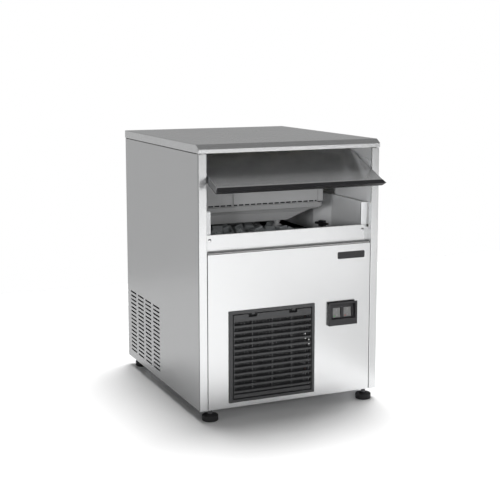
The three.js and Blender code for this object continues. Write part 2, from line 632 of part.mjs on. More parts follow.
// Rocker switch: a rocking cap on a cross axle, one end pressed in.
function rocker() {
  const half = ROCKER.height / 2;
  return alongX(outline([[-3.2, -half], [-1.6, 0], [-3.2, half], [2, half - 0.6], [6, 6],
    [6, -6], [2, -half + 0.6]]), -ROCKER.width / 2, ROCKER.width / 2);
}
for (const [name, x] of [['power_switch', ROCKER.x[0]], ['wash_switch', ROCKER.x[1]]]) {
  const pivot = new THREE.Group();
  pivot.position.set(x, 1.5, ROCKER.z);
  pivot.rotation.x = THREE.MathUtils.degToRad(-ROCKER_TILT);
  cabinet.add(pivot);
  add(name, rocker(), lens, pivot);
}
add('badge_plate', alongY(outline([[384, 356], [458, 356], [460, 358], [460, 372], [458, 374],
  [384, 374], [382, 372], [382, 358]]), -1.6, -GAP), blackPlastic);

// ---- door ----------------------------------------------------------------------------------
// Everything here is drawn shut, from the pin axis, and the group is turned to the pose shown.
const door = new THREE.Group();
door.position.set(WIDTH / 2, PIN_Y, PIN_Z);
door.rotation.x = THREE.MathUtils.degToRad(-DOOR_OPEN);
cabinet.add(door);
const HALF_DOOR = DOOR_WIDTH / 2;
const DOOR_BACK = DOOR_FACE + DOOR_PAN;

function doorSkin() {
  const holes = [cylinderX(DOOR_PIN_R + GAP, -HALF_DOOR - 1, -HALF_DOOR + 9, 16),
    cylinderX(DOOR_PIN_R + GAP, HALF_DOOR - 9, HALF_DOOR + 1, 16)];
  const inner = box(-HALF_DOOR + SHEET, HALF_DOOR - SHEET, DOOR_FACE + SHEET, DOOR_BACK + 1,
    -DOOR_BELOW_PIN + SHEET, DOOR_ABOVE_PIN - SHEET);
  return carve([box(-HALF_DOOR, HALF_DOOR, DOOR_FACE, DOOR_BACK, -DOOR_BELOW_PIN,
    DOOR_ABOVE_PIN)], [inner, ...holes]);
}
add('door_skin', doorSkin(), steel, door);

function doorInsulation() {
  const edge = HALF_DOOR - SHEET - GAP;
  const pockets = [cylinderX(6, -edge - 2, -HALF_DOOR + 19, 16),
    cylinderX(6, HALF_DOOR - 19, edge + 2, 16)];
  return carve([box(-edge, edge, DOOR_FACE + SHEET + GAP, DOOR_BACK - GAP,
    -DOOR_BELOW_PIN + SHEET + GAP, DOOR_ABOVE_PIN - SHEET - GAP)], pockets);
}
add('door_insulation', doorInsulation(), foam, door);
const LINER_PANEL = 2.2;
add('door_inner_panel', box(-HALF_DOOR, HALF_DOOR, DOOR_BACK + GAP, DOOR_BACK + GAP + LINER_PANEL,
  -DOOR_BELOW_PIN, DOOR_ABOVE_PIN), blackPlastic, door);
const handleTop = -DOOR_BELOW_PIN - GAP;
add('door_handle', alongX(outline([[DOOR_FACE, handleTop], [DOOR_FACE, handleTop - HANDLE_NOSE],
  [DOOR_FACE + HANDLE_DEPTH, handleTop]]), -HALF_DOOR, HALF_DOOR), blackPlastic, door);
for (const [side, x] of [['left', -181], ['right', 181]]) {
  const seat = DOOR_BACK + LINER_PANEL + 2 * GAP;
  add(`door_buffer_${side}`, turned([[0, -seat - 7], [4.5, -seat - 7], [7, -seat - 4.5],
    [7, -seat], [0, -seat]], 16).rotateX(Math.PI / 2).translate(x, 0, -144), rubber, door);
}
for (const [side, sign] of [['left', -1], ['right', 1]]) {
  const [near, far] = [HALF_DOOR - 15, HALF_DOOR + 2.4];
  const ends = sign < 0 ? [-far, -near] : [near, far];
  add(`door_pin_${side}`, cylinderX(DOOR_PIN_R, ends[0], ends[1], 16), steel, door);
}

// ---- place the machine on the floor, centred on its footprint --------------------------------
const machine = new THREE.Group();
machine.add(cabinet);
machine.updateMatrixWorld(true);
const extent = new THREE.Box3().setFromObject(cabinet, true);
cabinet.position.set(-(extent.min.x + extent.max.x) / 2, -(extent.min.y + extent.max.y) / 2,
  FOOT_HEIGHT);

export default machine;
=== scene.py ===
"""Under-counter ice maker: the finished surfaces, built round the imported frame.

Pieces are drawn in cabinet millimetres, as the sheet-metal drawings are: X from the left side,
Y from the front face backwards, Z from the underside of the body.
"""
import json
import math
import random

import bmesh
import bpy
from mathutils import Euler, Matrix, Vector


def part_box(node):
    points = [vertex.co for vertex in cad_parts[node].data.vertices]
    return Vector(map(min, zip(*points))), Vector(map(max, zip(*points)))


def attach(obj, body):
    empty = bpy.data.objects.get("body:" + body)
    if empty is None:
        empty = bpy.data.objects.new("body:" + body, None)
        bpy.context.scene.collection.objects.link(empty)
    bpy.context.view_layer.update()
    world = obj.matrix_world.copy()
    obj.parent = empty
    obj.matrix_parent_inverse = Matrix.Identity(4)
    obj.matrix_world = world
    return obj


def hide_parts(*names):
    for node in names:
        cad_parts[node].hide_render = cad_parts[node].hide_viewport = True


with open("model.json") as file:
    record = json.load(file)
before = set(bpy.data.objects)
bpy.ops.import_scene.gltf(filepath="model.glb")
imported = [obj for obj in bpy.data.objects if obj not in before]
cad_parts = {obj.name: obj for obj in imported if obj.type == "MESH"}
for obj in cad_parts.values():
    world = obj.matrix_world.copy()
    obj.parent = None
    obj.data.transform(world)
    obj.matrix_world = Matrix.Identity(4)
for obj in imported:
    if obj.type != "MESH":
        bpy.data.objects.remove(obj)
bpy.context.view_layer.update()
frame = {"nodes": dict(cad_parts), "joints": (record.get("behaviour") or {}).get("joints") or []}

# ---- camera --------------------------------------------------------------------------------
# A long lens at counter height stands to the left of the machine's front and looks a little
# down on it. The lens is raised in its mount, so that the machine sits low in the frame.
camera = bpy.data.objects.new("camera", bpy.data.cameras.new("camera"))
bpy.context.scene.collection.objects.link(camera)
camera.location = (-1.1773, -2.6526, 0.8952)
camera.rotation_euler = (math.radians(90 - 8.307), 0, math.radians(-23.966))
camera.data.sensor_width = 36
camera.data.lens = 77.295
camera.data.shift_y = -0.07
bpy.context.scene.camera = camera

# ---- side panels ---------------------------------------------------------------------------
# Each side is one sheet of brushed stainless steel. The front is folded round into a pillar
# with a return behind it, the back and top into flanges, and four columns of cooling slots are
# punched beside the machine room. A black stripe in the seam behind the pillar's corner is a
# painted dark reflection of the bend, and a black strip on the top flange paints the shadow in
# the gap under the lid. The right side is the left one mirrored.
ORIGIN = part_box("left_side_panel")[0]
MM = 0.001
STEEL_GAUGE = 1.2


def at(x, y, z):
    return ORIGIN + Vector((x, y, z)) * MM


def span(node):
    """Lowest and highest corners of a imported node, in cabinet millimetres."""
    return [(corner - ORIGIN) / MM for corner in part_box(node)]


def start(name, size=(1, 1, 1)):
    """Names and sizes the primitive that was just added, and keeps its place in its mesh."""
    piece = bpy.context.object
    piece.scale = size
    piece.name = name
    piece.data.name = name
    bpy.ops.object.transform_apply(location=True, rotation=True, scale=True)
    return piece


def block(name, low, high):
    low, high = at(*low), at(*high)
    bpy.ops.object.select_all(action="DESELECT")
    bpy.ops.mesh.primitive_cube_add(size=1, location=(low + high) / 2)
    return start(name, high - low)


def upright_sheet(name, low, high):
    """A flat sheet that faces the front, between two corners with the same Y."""
    low, high = at(*low), at(*high)
    size = high - low
    bpy.ops.object.select_all(action="DESELECT")
    bpy.ops.mesh.primitive_plane_add(size=1, location=(low + high) / 2,
                                     rotation=(math.pi / 2, 0, 0))
    return start(name, (size.x, size.z, 1))


def choose(piece, kind, wanted):
    """Opens a piece in edit mode with the faces, edges or corners selected that wanted() picks
    by their middle, in cabinet millimetres, and for a face by its normal."""
    bpy.ops.object.select_all(action="DESELECT")
    piece.select_set(True)
    bpy.context.view_layer.objects.active = piece
    bpy.ops.object.mode_set(mode="EDIT")
    bpy.ops.mesh.select_mode(type=kind)
    bpy.ops.mesh.select_all(action="DESELECT")
    mesh = bmesh.from_edit_mesh(piece.data)
    for part in {"FACE": mesh.faces, "EDGE": mesh.edges, "VERT": mesh.verts}[kind]:
        corners = [part.co] if kind == "VERT" else [corner.co for corner in part.verts]
        middle = (sum(corners, Vector()) / len(corners) - ORIGIN) / MM
        part.select_set(bool(wanted(middle, part.normal) if kind == "FACE" else wanted(middle)))
    mesh.select_flush_mode()
    bmesh.update_edit_mesh(piece.data)


def done():
    bpy.ops.object.mode_set(mode="OBJECT")


def pull(piece, wanted, by):
    """Folds a new flange from the chosen edges of a sheet, by a distance in millimetres."""
    choose(piece, "EDGE", wanted)
    bpy.ops.mesh.extrude_edges_move(TRANSFORM_OT_translate={"value": Vector(by) * MM})
    done()


def work(piece, kind, **settings):
    """Adds one modifier to a piece and applies it."""
    bpy.ops.object.select_all(action="DESELECT")
    piece.select_set(True)
    bpy.context.view_layer.objects.active = piece
    step = piece.modifiers.new(kind.lower(), kind)
    for setting, value in settings.items():
        setattr(step, setting, value)
    bpy.ops.object.modifier_apply(modifier=step.name)


def outward(piece):
    """Turns a closed piece right side out."""
    mesh = bmesh.new()
    mesh.from_mesh(piece.data)
    inside_out = mesh.calc_volume(signed=True) < 0
    mesh.free()
    if inside_out:
        choose(piece, "FACE", lambda middle, normal: True)
        bpy.ops.mesh.flip_normals()
        done()


def thicken(piece, gauge):
    """Gives an open sheet its thickness, on the inner side."""
    work(piece, "SOLIDIFY", thickness=gauge * MM, offset=-1, use_even_offset=True,
         use_quality_normals=True)
    outward(piece)


def cut(piece, *tools, how="DIFFERENCE"):
    """Cuts tools out of a piece, or joins them to it, and clears the tools away."""
    for tool in tools:
        work(piece, "BOOLEAN", object=tool, operation=how, solver="EXACT")
        bpy.data.objects.remove(tool)


def smooth(piece, angle=35):
    """Shades bends smoothly and keeps the flats between them flat."""
    bpy.ops.object.select_all(action="DESELECT")
    piece.select_set(True)
    bpy.context.view_layer.objects.active = piece
    bpy.ops.object.shade_smooth_by_angle(angle=math.radians(angle))
    work(piece, "WEIGHTED_NORMAL", keep_sharp=True, weight=100)


def round_edges(piece, radius, segments=3, angle=30):
    work(piece, "BEVEL", width=radius * MM, segments=segments, limit_method="ANGLE",
         angle_limit=math.radians(angle))


def finish(name, colour, roughness, metal=0.0, grain=(300, 300, 300), relief=0.02, mottle=0.04,
           cloud=9, sheen_change=0.08, **sockets):
    """A surface whose tone, gloss and fine relief follow a grain on the piece's own metres.
    Grain is waves per metre, relief is in millimetres, and cloud is the slower change of tone."""
    material = bpy.data.materials.new(name)
    material.use_nodes = True
    nodes, links = material.node_tree.nodes, material.node_tree.links
    shader = nodes["Principled BSDF"]
    shader.inputs["Metallic"].default_value = metal
    for socket, value in sockets.items():
        shader.inputs[socket.replace("_", " ")].default_value = value
    place = nodes.new("ShaderNodeTexCoord")
    stretch = nodes.new("ShaderNodeMapping")
    stretch.inputs["Scale"].default_value = grain
    links.new(place.outputs["Object"], stretch.inputs["Vector"])
    fine = nodes.new("ShaderNodeTexNoise")
    fine.inputs["Scale"].default_value = 1
    fine.inputs["Detail"].default_value = 3
    links.new(stretch.outputs["Vector"], fine.inputs["Vector"])
    slow = nodes.new("ShaderNodeTexNoise")
    slow.inputs["Scale"].default_value = cloud
    links.new(place.outputs["Object"], slow.inputs["Vector"])
    both = nodes.new("ShaderNodeMath")
    both.operation = "ADD"
    links.new(fine.outputs["Fac"], both.inputs[0])
    links.new(slow.outputs["Fac"], both.inputs[1])
    tone = nodes.new("ShaderNodeMapRange")
    tone.inputs["From Min"].default_value = 0.6
    tone.inputs["From Max"].default_value = 1.4
    links.new(both.outputs["Value"], tone.inputs["Value"])
    paint = nodes.new("ShaderNodeMix")
    paint.data_type = "RGBA"
    paint.inputs["A"].default_value = (*[share * (1 - mottle) for share in colour], 1)
    paint.inputs["B"].default_value = (*[min(1, share * (1 + mottle)) for share in colour], 1)
    links.new(tone.outputs["Result"], paint.inputs["Factor"])
    links.new(paint.outputs["Result"], shader.inputs["Base Color"])
    gloss = nodes.new("ShaderNodeMapRange")
    gloss.inputs["To Min"].default_value = max(0.02, roughness - sheen_change / 2)
    gloss.inputs["To Max"].default_value = roughness + sheen_change / 2
    links.new(tone.outputs["Result"], gloss.inputs["Value"])
    links.new(gloss.outputs["Result"], shader.inputs["Roughness"])
    bump = nodes.new("ShaderNodeBump")
    bump.inputs["Strength"].default_value = 1
    bump.inputs["Distance"].default_value = relief * MM
    links.new(fine.outputs["Fac"], bump.inputs["Height"])
    links.new(bump.outputs["Normal"], shader.inputs["Normal"])
    return material


def fit(piece, material, body, slot, *nodes):
    """Gives a finished piece its material and fixes it to its body in place of plain nodes."""
    piece.data.materials.clear()
    piece.data.materials.append(material)
    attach(piece, body)
    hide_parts(*nodes)


# Brushed along Z, so the scratches are about a millimetre wide and a hand long.
brushed_steel = finish("brushed_steel", (0.76, 0.765, 0.77), 0.25, metal=1, mottle=0.012,
                       grain=(1500, 1500, 9), relief=0.002, cloud=5, sheen_change=0.04)

# Black for painted dark lines: the bend's dark reflection behind each pillar and the shadow under
# the lid.
painted_shade = finish("black_painted_shade", (0.012, 0.012, 0.013), 0.6, grain=(600, 600, 600), relief=0.05,
                 sheen_change=0.15, Specular_IOR_Level=0.2)

BEND_RADIUS = 1.6
PILLAR_RETURN = 14
REAR_FLANGE = 14
TOP_FLANGE_START = 18
LEDGE = 497
SLOT_COLUMNS = ((300, 352), (370, 419), (435, 484), (501, 549))
SLOT_ROWS = 16
SLOT_PITCH = 11.5
SLOT_HEIGHT = 4.8
LOWEST_SLOT = 24.5
# Height of the gap under the lid, filled with black as painted shadow.
LID_SHADE_GAP = 1.6
SEAM_FRONT, SEAM_BACK = 2.4, 4.8
SEAM_DEPTH = 0.8
pillar, depth, lid_line = span("left_side_panel")[1]
height = lid_line - LID_SHADE_GAP


def side_sheet():
    side = upright_sheet("left_side", (0, 0, 0), (pillar, 0, height))
    pull(side, lambda mid: mid.x > pillar - 1, (0, PILLAR_RETURN, 0))
    pull(side, lambda mid: mid.x < 1 and mid.y < 1, (0, TOP_FLANGE_START, 0))
    last = TOP_FLANGE_START
    for stop in (depth - REAR_FLANGE, depth):
        pull(side, lambda mid: mid.x < 1 and abs(mid.y - last) < 0.1 and mid.z < height - 1
             and mid.z > 1, (0, stop - last, 0))
        last = stop
    pull(side, lambda mid: abs(mid.y - depth) < 0.1, (REAR_FLANGE, 0, 0))
    pull(side, lambda mid: mid.z > height - 1 and mid.x < 1 and 40 < mid.y < depth - 40,
         (REAR_FLANGE, 0, 0))
    round_edges(side, BEND_RADIUS)
    return side


def slot_punch(x):
    punches = []
    for front, back in SLOT_COLUMNS:
        low = LOWEST_SLOT - SLOT_HEIGHT / 2
        punch = block("punch", (x - 5, front, low), (x + 5, back, low + SLOT_HEIGHT))
        round_edges(punch, 0.9, 2)
        work(punch, "ARRAY", count=SLOT_ROWS, use_relative_offset=False,
             use_constant_offset=True, constant_offset_displace=(0, 0, SLOT_PITCH * MM))
        punches.append(punch)
    return punches


WIDTH = span("right_side_panel")[1].x
for side_name, node in (("left_side", "left_side_panel"), ("right_side", "right_side_panel")):
    side = side_sheet()
    edge = 0
    inner = (STEEL_GAUGE, pillar + 1)
    if node == "right_side_panel":
        choose(side, "FACE", lambda middle, normal: True)
        bpy.ops.transform.resize(value=(-1, 1, 1), center_override=at(WIDTH / 2, 0, 0))
        bpy.ops.mesh.flip_normals()
        done()
        edge = WIDTH
        inner = (WIDTH - pillar - 1, WIDTH - STEEL_GAUGE)
    side.name = side_name
    thicken(side, STEEL_GAUGE)
    cut(side, block("notch", (inner[0] - 0.2, 3, LEDGE - 0.5),
                    (inner[1] + 0.2, PILLAR_RETURN + 2, height + 2)))
    cut(side, *slot_punch(edge))
    into = -SEAM_DEPTH if edge else SEAM_DEPTH     # inwards from this side's face
    reach = sorted((edge - into, edge + into))
    cut(side, block("seam", (reach[0], SEAM_FRONT, -1), (reach[1], SEAM_BACK, height + 1)))
    smooth(side)
    fit(side, brushed_steel, "cabinet", "stainless", node)
    # Black fill as painted shade: a stripe in the seam for the bend's dark reflection, and a strip
    # on the top flange for the shadow under the lid.
    reach = sorted((edge + into * 0.1, edge + into))
    shade_stripe = block(f"{side_name}_bead", (reach[0], SEAM_FRONT, 1), (reach[1], SEAM_BACK, height))
    reach = sorted((edge + into * 1.5, edge + into * 14))
    cut(shade_stripe, block("shade_fill", (reach[0], SEAM_BACK + 6, height + 0.1),
                    (reach[1], depth - 2, height + LID_SHADE_GAP)), how="UNION")
    round_edges(shade_stripe, 0.2, 2)
    smooth(shade_stripe)
    fit(shade_stripe, painted_shade, "cabinet", "rubber")

# ---- lid -----------------------------------------------------------------------------------
# The lid is a drawn tray of the same steel turned upside down, with a short upright lip and a
# sloping edge along its front. The lip is folded at each corner, where a fine slit stays open.
LID_GAUGE = 1.5
LIP_TOP = 652
SLOPE = 16
lid_low, lid_high = span("lid")
lid = block("lid_tray", lid_low, lid_high)
choose(lid, "FACE", lambda middle, normal: True)
slope_line = Vector((0, LIP_TOP - lid_high.z, SLOPE)).normalized()
bpy.ops.mesh.bisect(plane_co=at(0, lid_low.y, LIP_TOP), plane_no=slope_line, use_fill=True,
                    clear_outer=True)
done()
choose(lid, "FACE", lambda middle, normal: normal.z < -0.9)
bpy.ops.mesh.delete(type="FACE")
done()
round_edges(lid, 1.8, 4, 20)
thicken(lid, LID_GAUGE)
for corner_x in (lid_low.x, lid_high.x):
    slit = block("slit", (corner_x - 3, 0.5, LIP_TOP - 1.2), (corner_x + 3, 8.5, LIP_TOP + 0.2))
    bpy.ops.transform.rotate(value=math.radians(24), orient_axis="X",
                             center_override=at(corner_x, 0.5, LIP_TOP))
    bpy.ops.object.transform_apply(location=True, rotation=True, scale=True)
    cut(lid, slit)
smooth(lid, 25)
# The lid is brushed from side to side.
lid_steel = finish("lid_steel", (0.90, 0.905, 0.91), 0.27, metal=1, mottle=0.03,
                   grain=(9, 1500, 1500), relief=0.006, cloud=5, sheen_change=0.06)
fit(lid, lid_steel, "cabinet", "stainless", "lid")

# ---- lower front panel -----------------------------------------------------------------------
# The front of the machine room is closed by a flat steel panel. Its top is folded back as a
# ledge, its sides as flanges, and it has one opening for the grille and one for the switches.
panel_low, panel_high = span("front_panel")
panel_low.x += 0.8
panel_high.x -= 0.8
FLANGE_DEPTH = 14
front = block("front_cover", panel_low, (panel_high.x, FLANGE_DEPTH, panel_high.z))
choose(front, "FACE", lambda middle, normal: normal.y > 0.9 or normal.z < -0.9)
bpy.ops.mesh.delete(type="FACE")
done()
pull(front, lambda mid: mid.z > panel_high.z - 1 and mid.y > FLANGE_DEPTH - 1,
     (0, panel_high.y - FLANGE_DEPTH, 0))
round_edges(front, 1.2, 3)
thicken(front, STEEL_GAUGE)
frame_low, frame_high = span("grille_frame")
hood_low, hood_high = span("switch_bezel")
cut(front,
    block("vent", (frame_low.x + 7, -5, frame_low.z + 3.8),
          (frame_high.x - 4.5, 5, frame_high.z - 4.5)),
    block("window", (hood_low.x + 5, -5, hood_low.z + 5),
          (hood_high.x - 5, 5, hood_high.z - 5)))
smooth(front)
fit(front, brushed_steel, "cabinet", "stainless", "front_panel")

# ---- sill strip and its screws ---------------------------------------------------------------
# A steel strip closes the cabinet between the front panel and the door opening. Its top edge is
# hemmed. One pan-head screw with a crossed recess holds it at each end.
strip_low, strip_high = span("sill_strip")
HEM = 5
strip = block("sill_rail", strip_low, strip_high)
choose(strip, "FACE", lambda middle, normal: True)
bpy.ops.mesh.bisect(plane_co=at(0, 0, strip_high.z - HEM), plane_no=(0, 0, 1))
done()
choose(strip, "FACE", lambda middle, normal: normal.y > 0.9 and middle.z > strip_high.z - HEM)
bpy.ops.mesh.extrude_region_move(TRANSFORM_OT_translate={"value": (0, 0.9 * MM, 0)})
done()
END_FLANGE = 1.1        # thin enough to stand between a pillar and the end of the shut door
for x in (pillar + 0.15, WIDTH - pillar - 0.15 - END_FLANGE):
    cut(strip, block("end_flange", (x, 3, panel_high.z + 0.5),
                     (x + END_FLANGE, strip_high.y - 0.2, strip_high.z - HEM - 1)), how="UNION")
round_edges(strip, 0.5, 3)
screw_heads = [span(f"sill_screw_{side}") for side in ("left", "right")]
for low, high in screw_heads:
    middle = (low + high) / 2
    bpy.ops.object.select_all(action="DESELECT")
    bpy.ops.mesh.primitive_cylinder_add(vertices=24, radius=2.2 * MM, depth=20 * MM,
                                        location=at(middle.x, middle.y, middle.z),
                                        rotation=(math.pi / 2, 0, 0))
    cut(strip, start("screw_hole"))
smooth(strip)
fit(strip, brushed_steel, "cabinet", "stainless", "sill_strip")

# A pale grey strip in the joint between the sill strip and the panel's ledge is a painted
# highlight: it stands in for the light line along the ledge.
ledge_highlight_paint = finish("ledge_highlight_paint", (0.62, 0.62, 0.62), 0.7, grain=(900, 900, 900), relief=0.05,
                   mottle=0.06)
seal = block("ledge_highlight_strip", (panel_low.x + 2, panel_low.y + 2.5, panel_high.z + 0.1),
             (panel_high.x - 2, strip_low.y - 0.2, panel_high.z + 2))
round_edges(seal, 0.6, 2)
smooth(seal)
fit(seal, ledge_highlight_paint, "cabinet", "foam")

bright_steel = finish("bright_steel", (0.78, 0.78, 0.79), 0.22, metal=1, mottle=0.05,
                      grain=(700, 700, 700), relief=0.004)
TURNS = {"X": (0, math.pi / 2, 0), "Y": (-math.pi / 2, 0, 0), "Z": (0, 0, 0)}


def turned(name, centre, profile, axis="Z", sides=32):
    """A turned piece: a disc drawn out along an axis through pairs of radius and distance."""
    bpy.ops.object.select_all(action="DESELECT")
    bpy.ops.mesh.primitive_circle_add(vertices=sides, radius=profile[0][0] * MM,
                                      fill_type="NGON", location=(0, 0, profile[0][1] * MM))
    piece = start(name)
    bpy.ops.object.mode_set(mode="EDIT")
    bpy.ops.mesh.select_mode(type="FACE")
    bpy.ops.mesh.select_all(action="SELECT")
    for (radius, height), (wider, higher) in zip(profile, profile[1:]):
        bpy.ops.mesh.extrude_region_move(
            TRANSFORM_OT_translate={"value": (0, 0, (higher - height) * MM)})
        bpy.ops.transform.resize(value=(wider / radius, wider / radius, 1),
                                 center_override=(0, 0, higher * MM))
    done()
    piece.rotation_euler = TURNS[axis]
    piece.location = at(*centre)
    bpy.ops.object.transform_apply(location=True, rotation=True, scale=True)
    outward(piece)
    return piece


for side, (low, high) in zip(("left", "right"), screw_heads):
    middle = (low + high) / 2
    head = (high.x - low.x) / 2
    crown = low.y + 0.9
    screw = turned(f"sill_screw_head_{side}", (middle.x, crown, middle.z),
                   ((head - 2.6, 0), (head - 0.9, 0.4), (head, 1), (head, 1.7), (1.8, 1.7),
                    (1.8, high.y - crown)), "Y", 28)
    cut(screw,
        block("recess", (middle.x - 2.1, crown - 1, middle.z - 0.45),
              (middle.x + 2.1, crown + 1.1, middle.z + 0.45)),
        block("recess", (middle.x - 0.45, crown - 1, middle.z - 2.1),
              (middle.x + 0.45, crown + 1.1, middle.z + 2.1)))
    smooth(screw, 40)
    fit(screw, bright_steel, "cabinet", "bright_steel", f"sill_screw_{side}")

# ---- back panel ----------------------------------------------------------------------------
# The back is a flat galvanised sheet held by eight screws. It has two columns of cooling slots
# and round holes for the water valve, the drain and the cord gland.
galvanised = finish("galvanised", (0.56, 0.57, 0.58), 0.42, metal=1, grain=(90, 90, 90),
                    mottle=0.12, relief=0.01, cloud=40, sheen_change=0.2)
back_low, back_high = span("back_panel")
VALVE_HALF = 18
fittings = {"drain_fitting": 13.5, "water_inlet_valve": 14, "cord_gland": 9}
back = block("rear_cover", back_low, back_high)
for node, radius in fittings.items():
    low, high = span(node)
    centre_z = high.z - VALVE_HALF if node == "water_inlet_valve" else (low.z + high.z) / 2
    cut(back, turned("hole", ((low.x + high.x) / 2, back_low.y - 5, centre_z),
                     ((radius, 0), (radius, 12)), "Y"))
VENT_ROWS = 7
VENT_PITCH = 18
for vent_x in (140, 262):
    vent = block("vent", (vent_x, back_low.y - 4, 80), (vent_x + 100, back_high.y + 4, 86))
    round_edges(vent, 2.5, 3)
    work(vent, "ARRAY", count=VENT_ROWS, use_relative_offset=False, use_constant_offset=True,
         constant_offset_displace=(0, 0, VENT_PITCH * MM))
    cut(back, vent)
smooth(back)
fit(back, galvanised, "cabinet", "galvanised", "back_panel")

back_screws = []
for screw_x in (back_low.x + 6, back_high.x - 6):
    for screw_z in (30, 220, 420, 615):
        back_screws.append(turned("back_screw", (screw_x, back_high.y, screw_z),
                             ((3.8, 0), (3.8, 0.8), (2.6, 1.7), (1, 1.9)), "Y", 20))
bpy.ops.object.select_all(action="DESELECT")
for screw in back_screws:
    screw.select_set(True)
bpy.ops.object.join()
back_screws = bpy.context.object
back_screws.name = "back_panel_screws"
smooth(back_screws, 40)
fit(back_screws, bright_steel, "cabinet", "bright_steel")

# ---- base pan and feet ---------------------------------------------------------------------
# The machine stands on a galvanised pan with a folded edge. A levelling foot is screwed into each
# corner: a rubber pad moulded on a zinc-plated stud, which turns in a nut fixed inside the pan.
def from_cad(node, name):
    """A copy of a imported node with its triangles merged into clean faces."""
    piece = bpy.data.objects.new(name, frame["nodes"][node].data.copy())
    bpy.context.scene.collection.objects.link(piece)
    choose(piece, "FACE", lambda middle, normal: True)
    bpy.ops.mesh.remove_doubles(threshold=1e-6)
    bpy.ops.mesh.dissolve_limited(angle_limit=math.radians(1))
    bpy.ops.mesh.customdata_custom_splitnormals_clear()
    done()
    return piece


pan = from_cad("base_pan", "base_tray")
round_edges(pan, 0.5, 2, 40)
smooth(pan)
fit(pan, galvanised, "cabinet", "galvanised", "base_pan")

rubber = finish("black_rubber", (0.018, 0.018, 0.019), 0.62, grain=(900, 900, 900), relief=0.03,
                sheen_change=0.15)
zinc_steel = finish("zinc_steel", (0.36, 0.36, 0.37), 0.4, metal=1, grain=(500, 500, 500),
                    mottle=0.15, relief=0.01)
PAN_GAUGE = 1.5
STUD = 6
THREAD_PITCH = 1.5
PAD = ((17.5, 0), (19.6, 0.5), (20.5, 1.8), (20.5, 4.4), (19.8, 4.8), (19.8, 5.6), (20.5, 6),
       (20.5, 13.2), (19.6, 14.4), (12, 15.4), (10.4, 15.6), (9.6, 17.4), (8, 17.8))
thread = [(STUD - 0.6, 17)]
while thread[-1][1] < 38:
    turn = thread[-1][1]
    thread += [(STUD, turn + THREAD_PITCH * 0.45), (STUD - 0.6, turn + THREAD_PITCH)]
for corner in ("front_left", "front_right", "rear_left", "rear_right"):
    body = f"foot_{corner}"
    low, high = span(body)
    axis = ((low.x + high.x) / 2, (low.y + high.y) / 2, low.z)
    pad = turned(f"foot_pad_{corner}", axis, PAD, sides=48)
    smooth(pad, 40)
    fit(pad, rubber, body, "rubber", body)
    stud = turned(f"foot_stud_{corner}", axis, thread, sides=24)
    smooth(stud, 60)
    fit(stud, zinc_steel, body, "bright_steel")
    nut = turned(f"foot_nut_{corner}", (*axis[:2], PAN_GAUGE + 0.2), (
        (8.6, 0), (9.8, 0.8), (9.8, 5.4), (8.6, 6.2)), sides=6)
    cut(nut, turned("thread_hole", (*axis[:2], -9), ((STUD + 0.1, 0), (STUD + 0.1, 24)),
                    sides=24))
    smooth(nut)
    fit(nut, zinc_steel, "cabinet", "bright_steel")

# ---- ice bin -------------------------------------------------------------------------------
# The bin is one white moulding. A deep tub narrows towards the back, and over a ledge it widens
# to carry the door guides. Its front wall ends at the sill, with a flat strip at each side.
liner_plastic = finish("liner_plastic", (0.80, 0.81, 0.82), 0.38, grain=(160, 160, 160),
                       relief=0.02, mottle=0.02, cloud=6, sheen_change=0.08)
MOUTH_EDGE = 39         # from each side of the cabinet to the open mouth
liner_low, liner_high = span("bin_liner")
sill = strip_high.z
WALL = 3
TUB_SIDE = 30
TUB_REAR_SIDE = 55
TAPER_START, TAPER_END = 201, 262
SHOULDER = 9
FLANGE_EDGE = 13
back_wall = liner_high.y - WALL
tub_floor = liner_low.z + WALL
tub = block("tub", (TUB_REAR_SIDE, liner_low.y + WALL, tub_floor),
            (WIDTH - TUB_REAR_SIDE, back_wall, LEDGE + 1))
for taper in (TAPER_START, TAPER_END):
    choose(tub, "FACE", lambda middle, normal: True)
    bpy.ops.mesh.bisect(plane_co=at(0, taper, 0), plane_no=(0, 1, 0))
    done()
for sign in (-1, 1):
    choose(tub, "VERT", lambda mid: mid.y < TAPER_START + 1 and (mid.x - WIDTH / 2) * sign > 0)
    bpy.ops.transform.translate(value=(sign * (TUB_REAR_SIDE - TUB_SIDE) * MM, 0, 0))
    done()
shoulders = block("shoulders", (SHOULDER + WALL, liner_low.y + WALL, LEDGE),
                  (WIDTH - SHOULDER - WALL, back_wall, liner_high.z + 1))
cut(tub, shoulders, how="UNION")
choose(tub, "FACE", lambda middle, normal: normal.z > 0.9 and middle.z > LEDGE + 20
       or normal.y < -0.9 and middle.z > LEDGE)
bpy.ops.mesh.delete(type="FACE")
done()
round_edges(tub, 7, 4, 20)
work(tub, "SOLIDIFY", thickness=WALL * MM, offset=1, use_even_offset=True)
outward(tub)
cut(tub, block("mouth", (MOUTH_EDGE, liner_low.y - 9, sill - 0.3),
               (WIDTH - MOUTH_EDGE, liner_low.y + 9, LEDGE + 0.5)))
for x in (FLANGE_EDGE, WIDTH - MOUTH_EDGE):
    flange = block("flange", (x, liner_low.y, sill - 2),
                   (x + MOUTH_EDGE - FLANGE_EDGE, liner_low.y + WALL, LEDGE - 0.2))
    cut(tub, flange, how="UNION")
tub.name = "ice_bin"
smooth(tub, 30)
fit(tub, liner_plastic, "cabinet", "liner_plastic", "bin_liner")

# The door guides are moulded cheeks that clip to the liner, each with a groove for a door pin.
for side in ("left", "right"):
    guide = from_cad(f"door_guide_{side}", f"door_cheek_{side}")
    round_edges(guide, 0.8, 2, 35)
    smooth(guide)
    fit(guide, liner_plastic, "cabinet", "liner_plastic", f"door_guide_{side}")

black_plastic = finish("black_plastic", (0.022, 0.022, 0.024), 0.42, grain=(1200, 1200, 1200),
                       relief=0.02, sheen_change=0.12)
bulb = from_cad("bin_thermostat_bulb", "thermostat_bulb")
round_edges(bulb, 1.6, 3)
smooth(bulb)
fit(bulb, black_plastic, "cabinet", "black_plastic", "bin_thermostat_bulb")

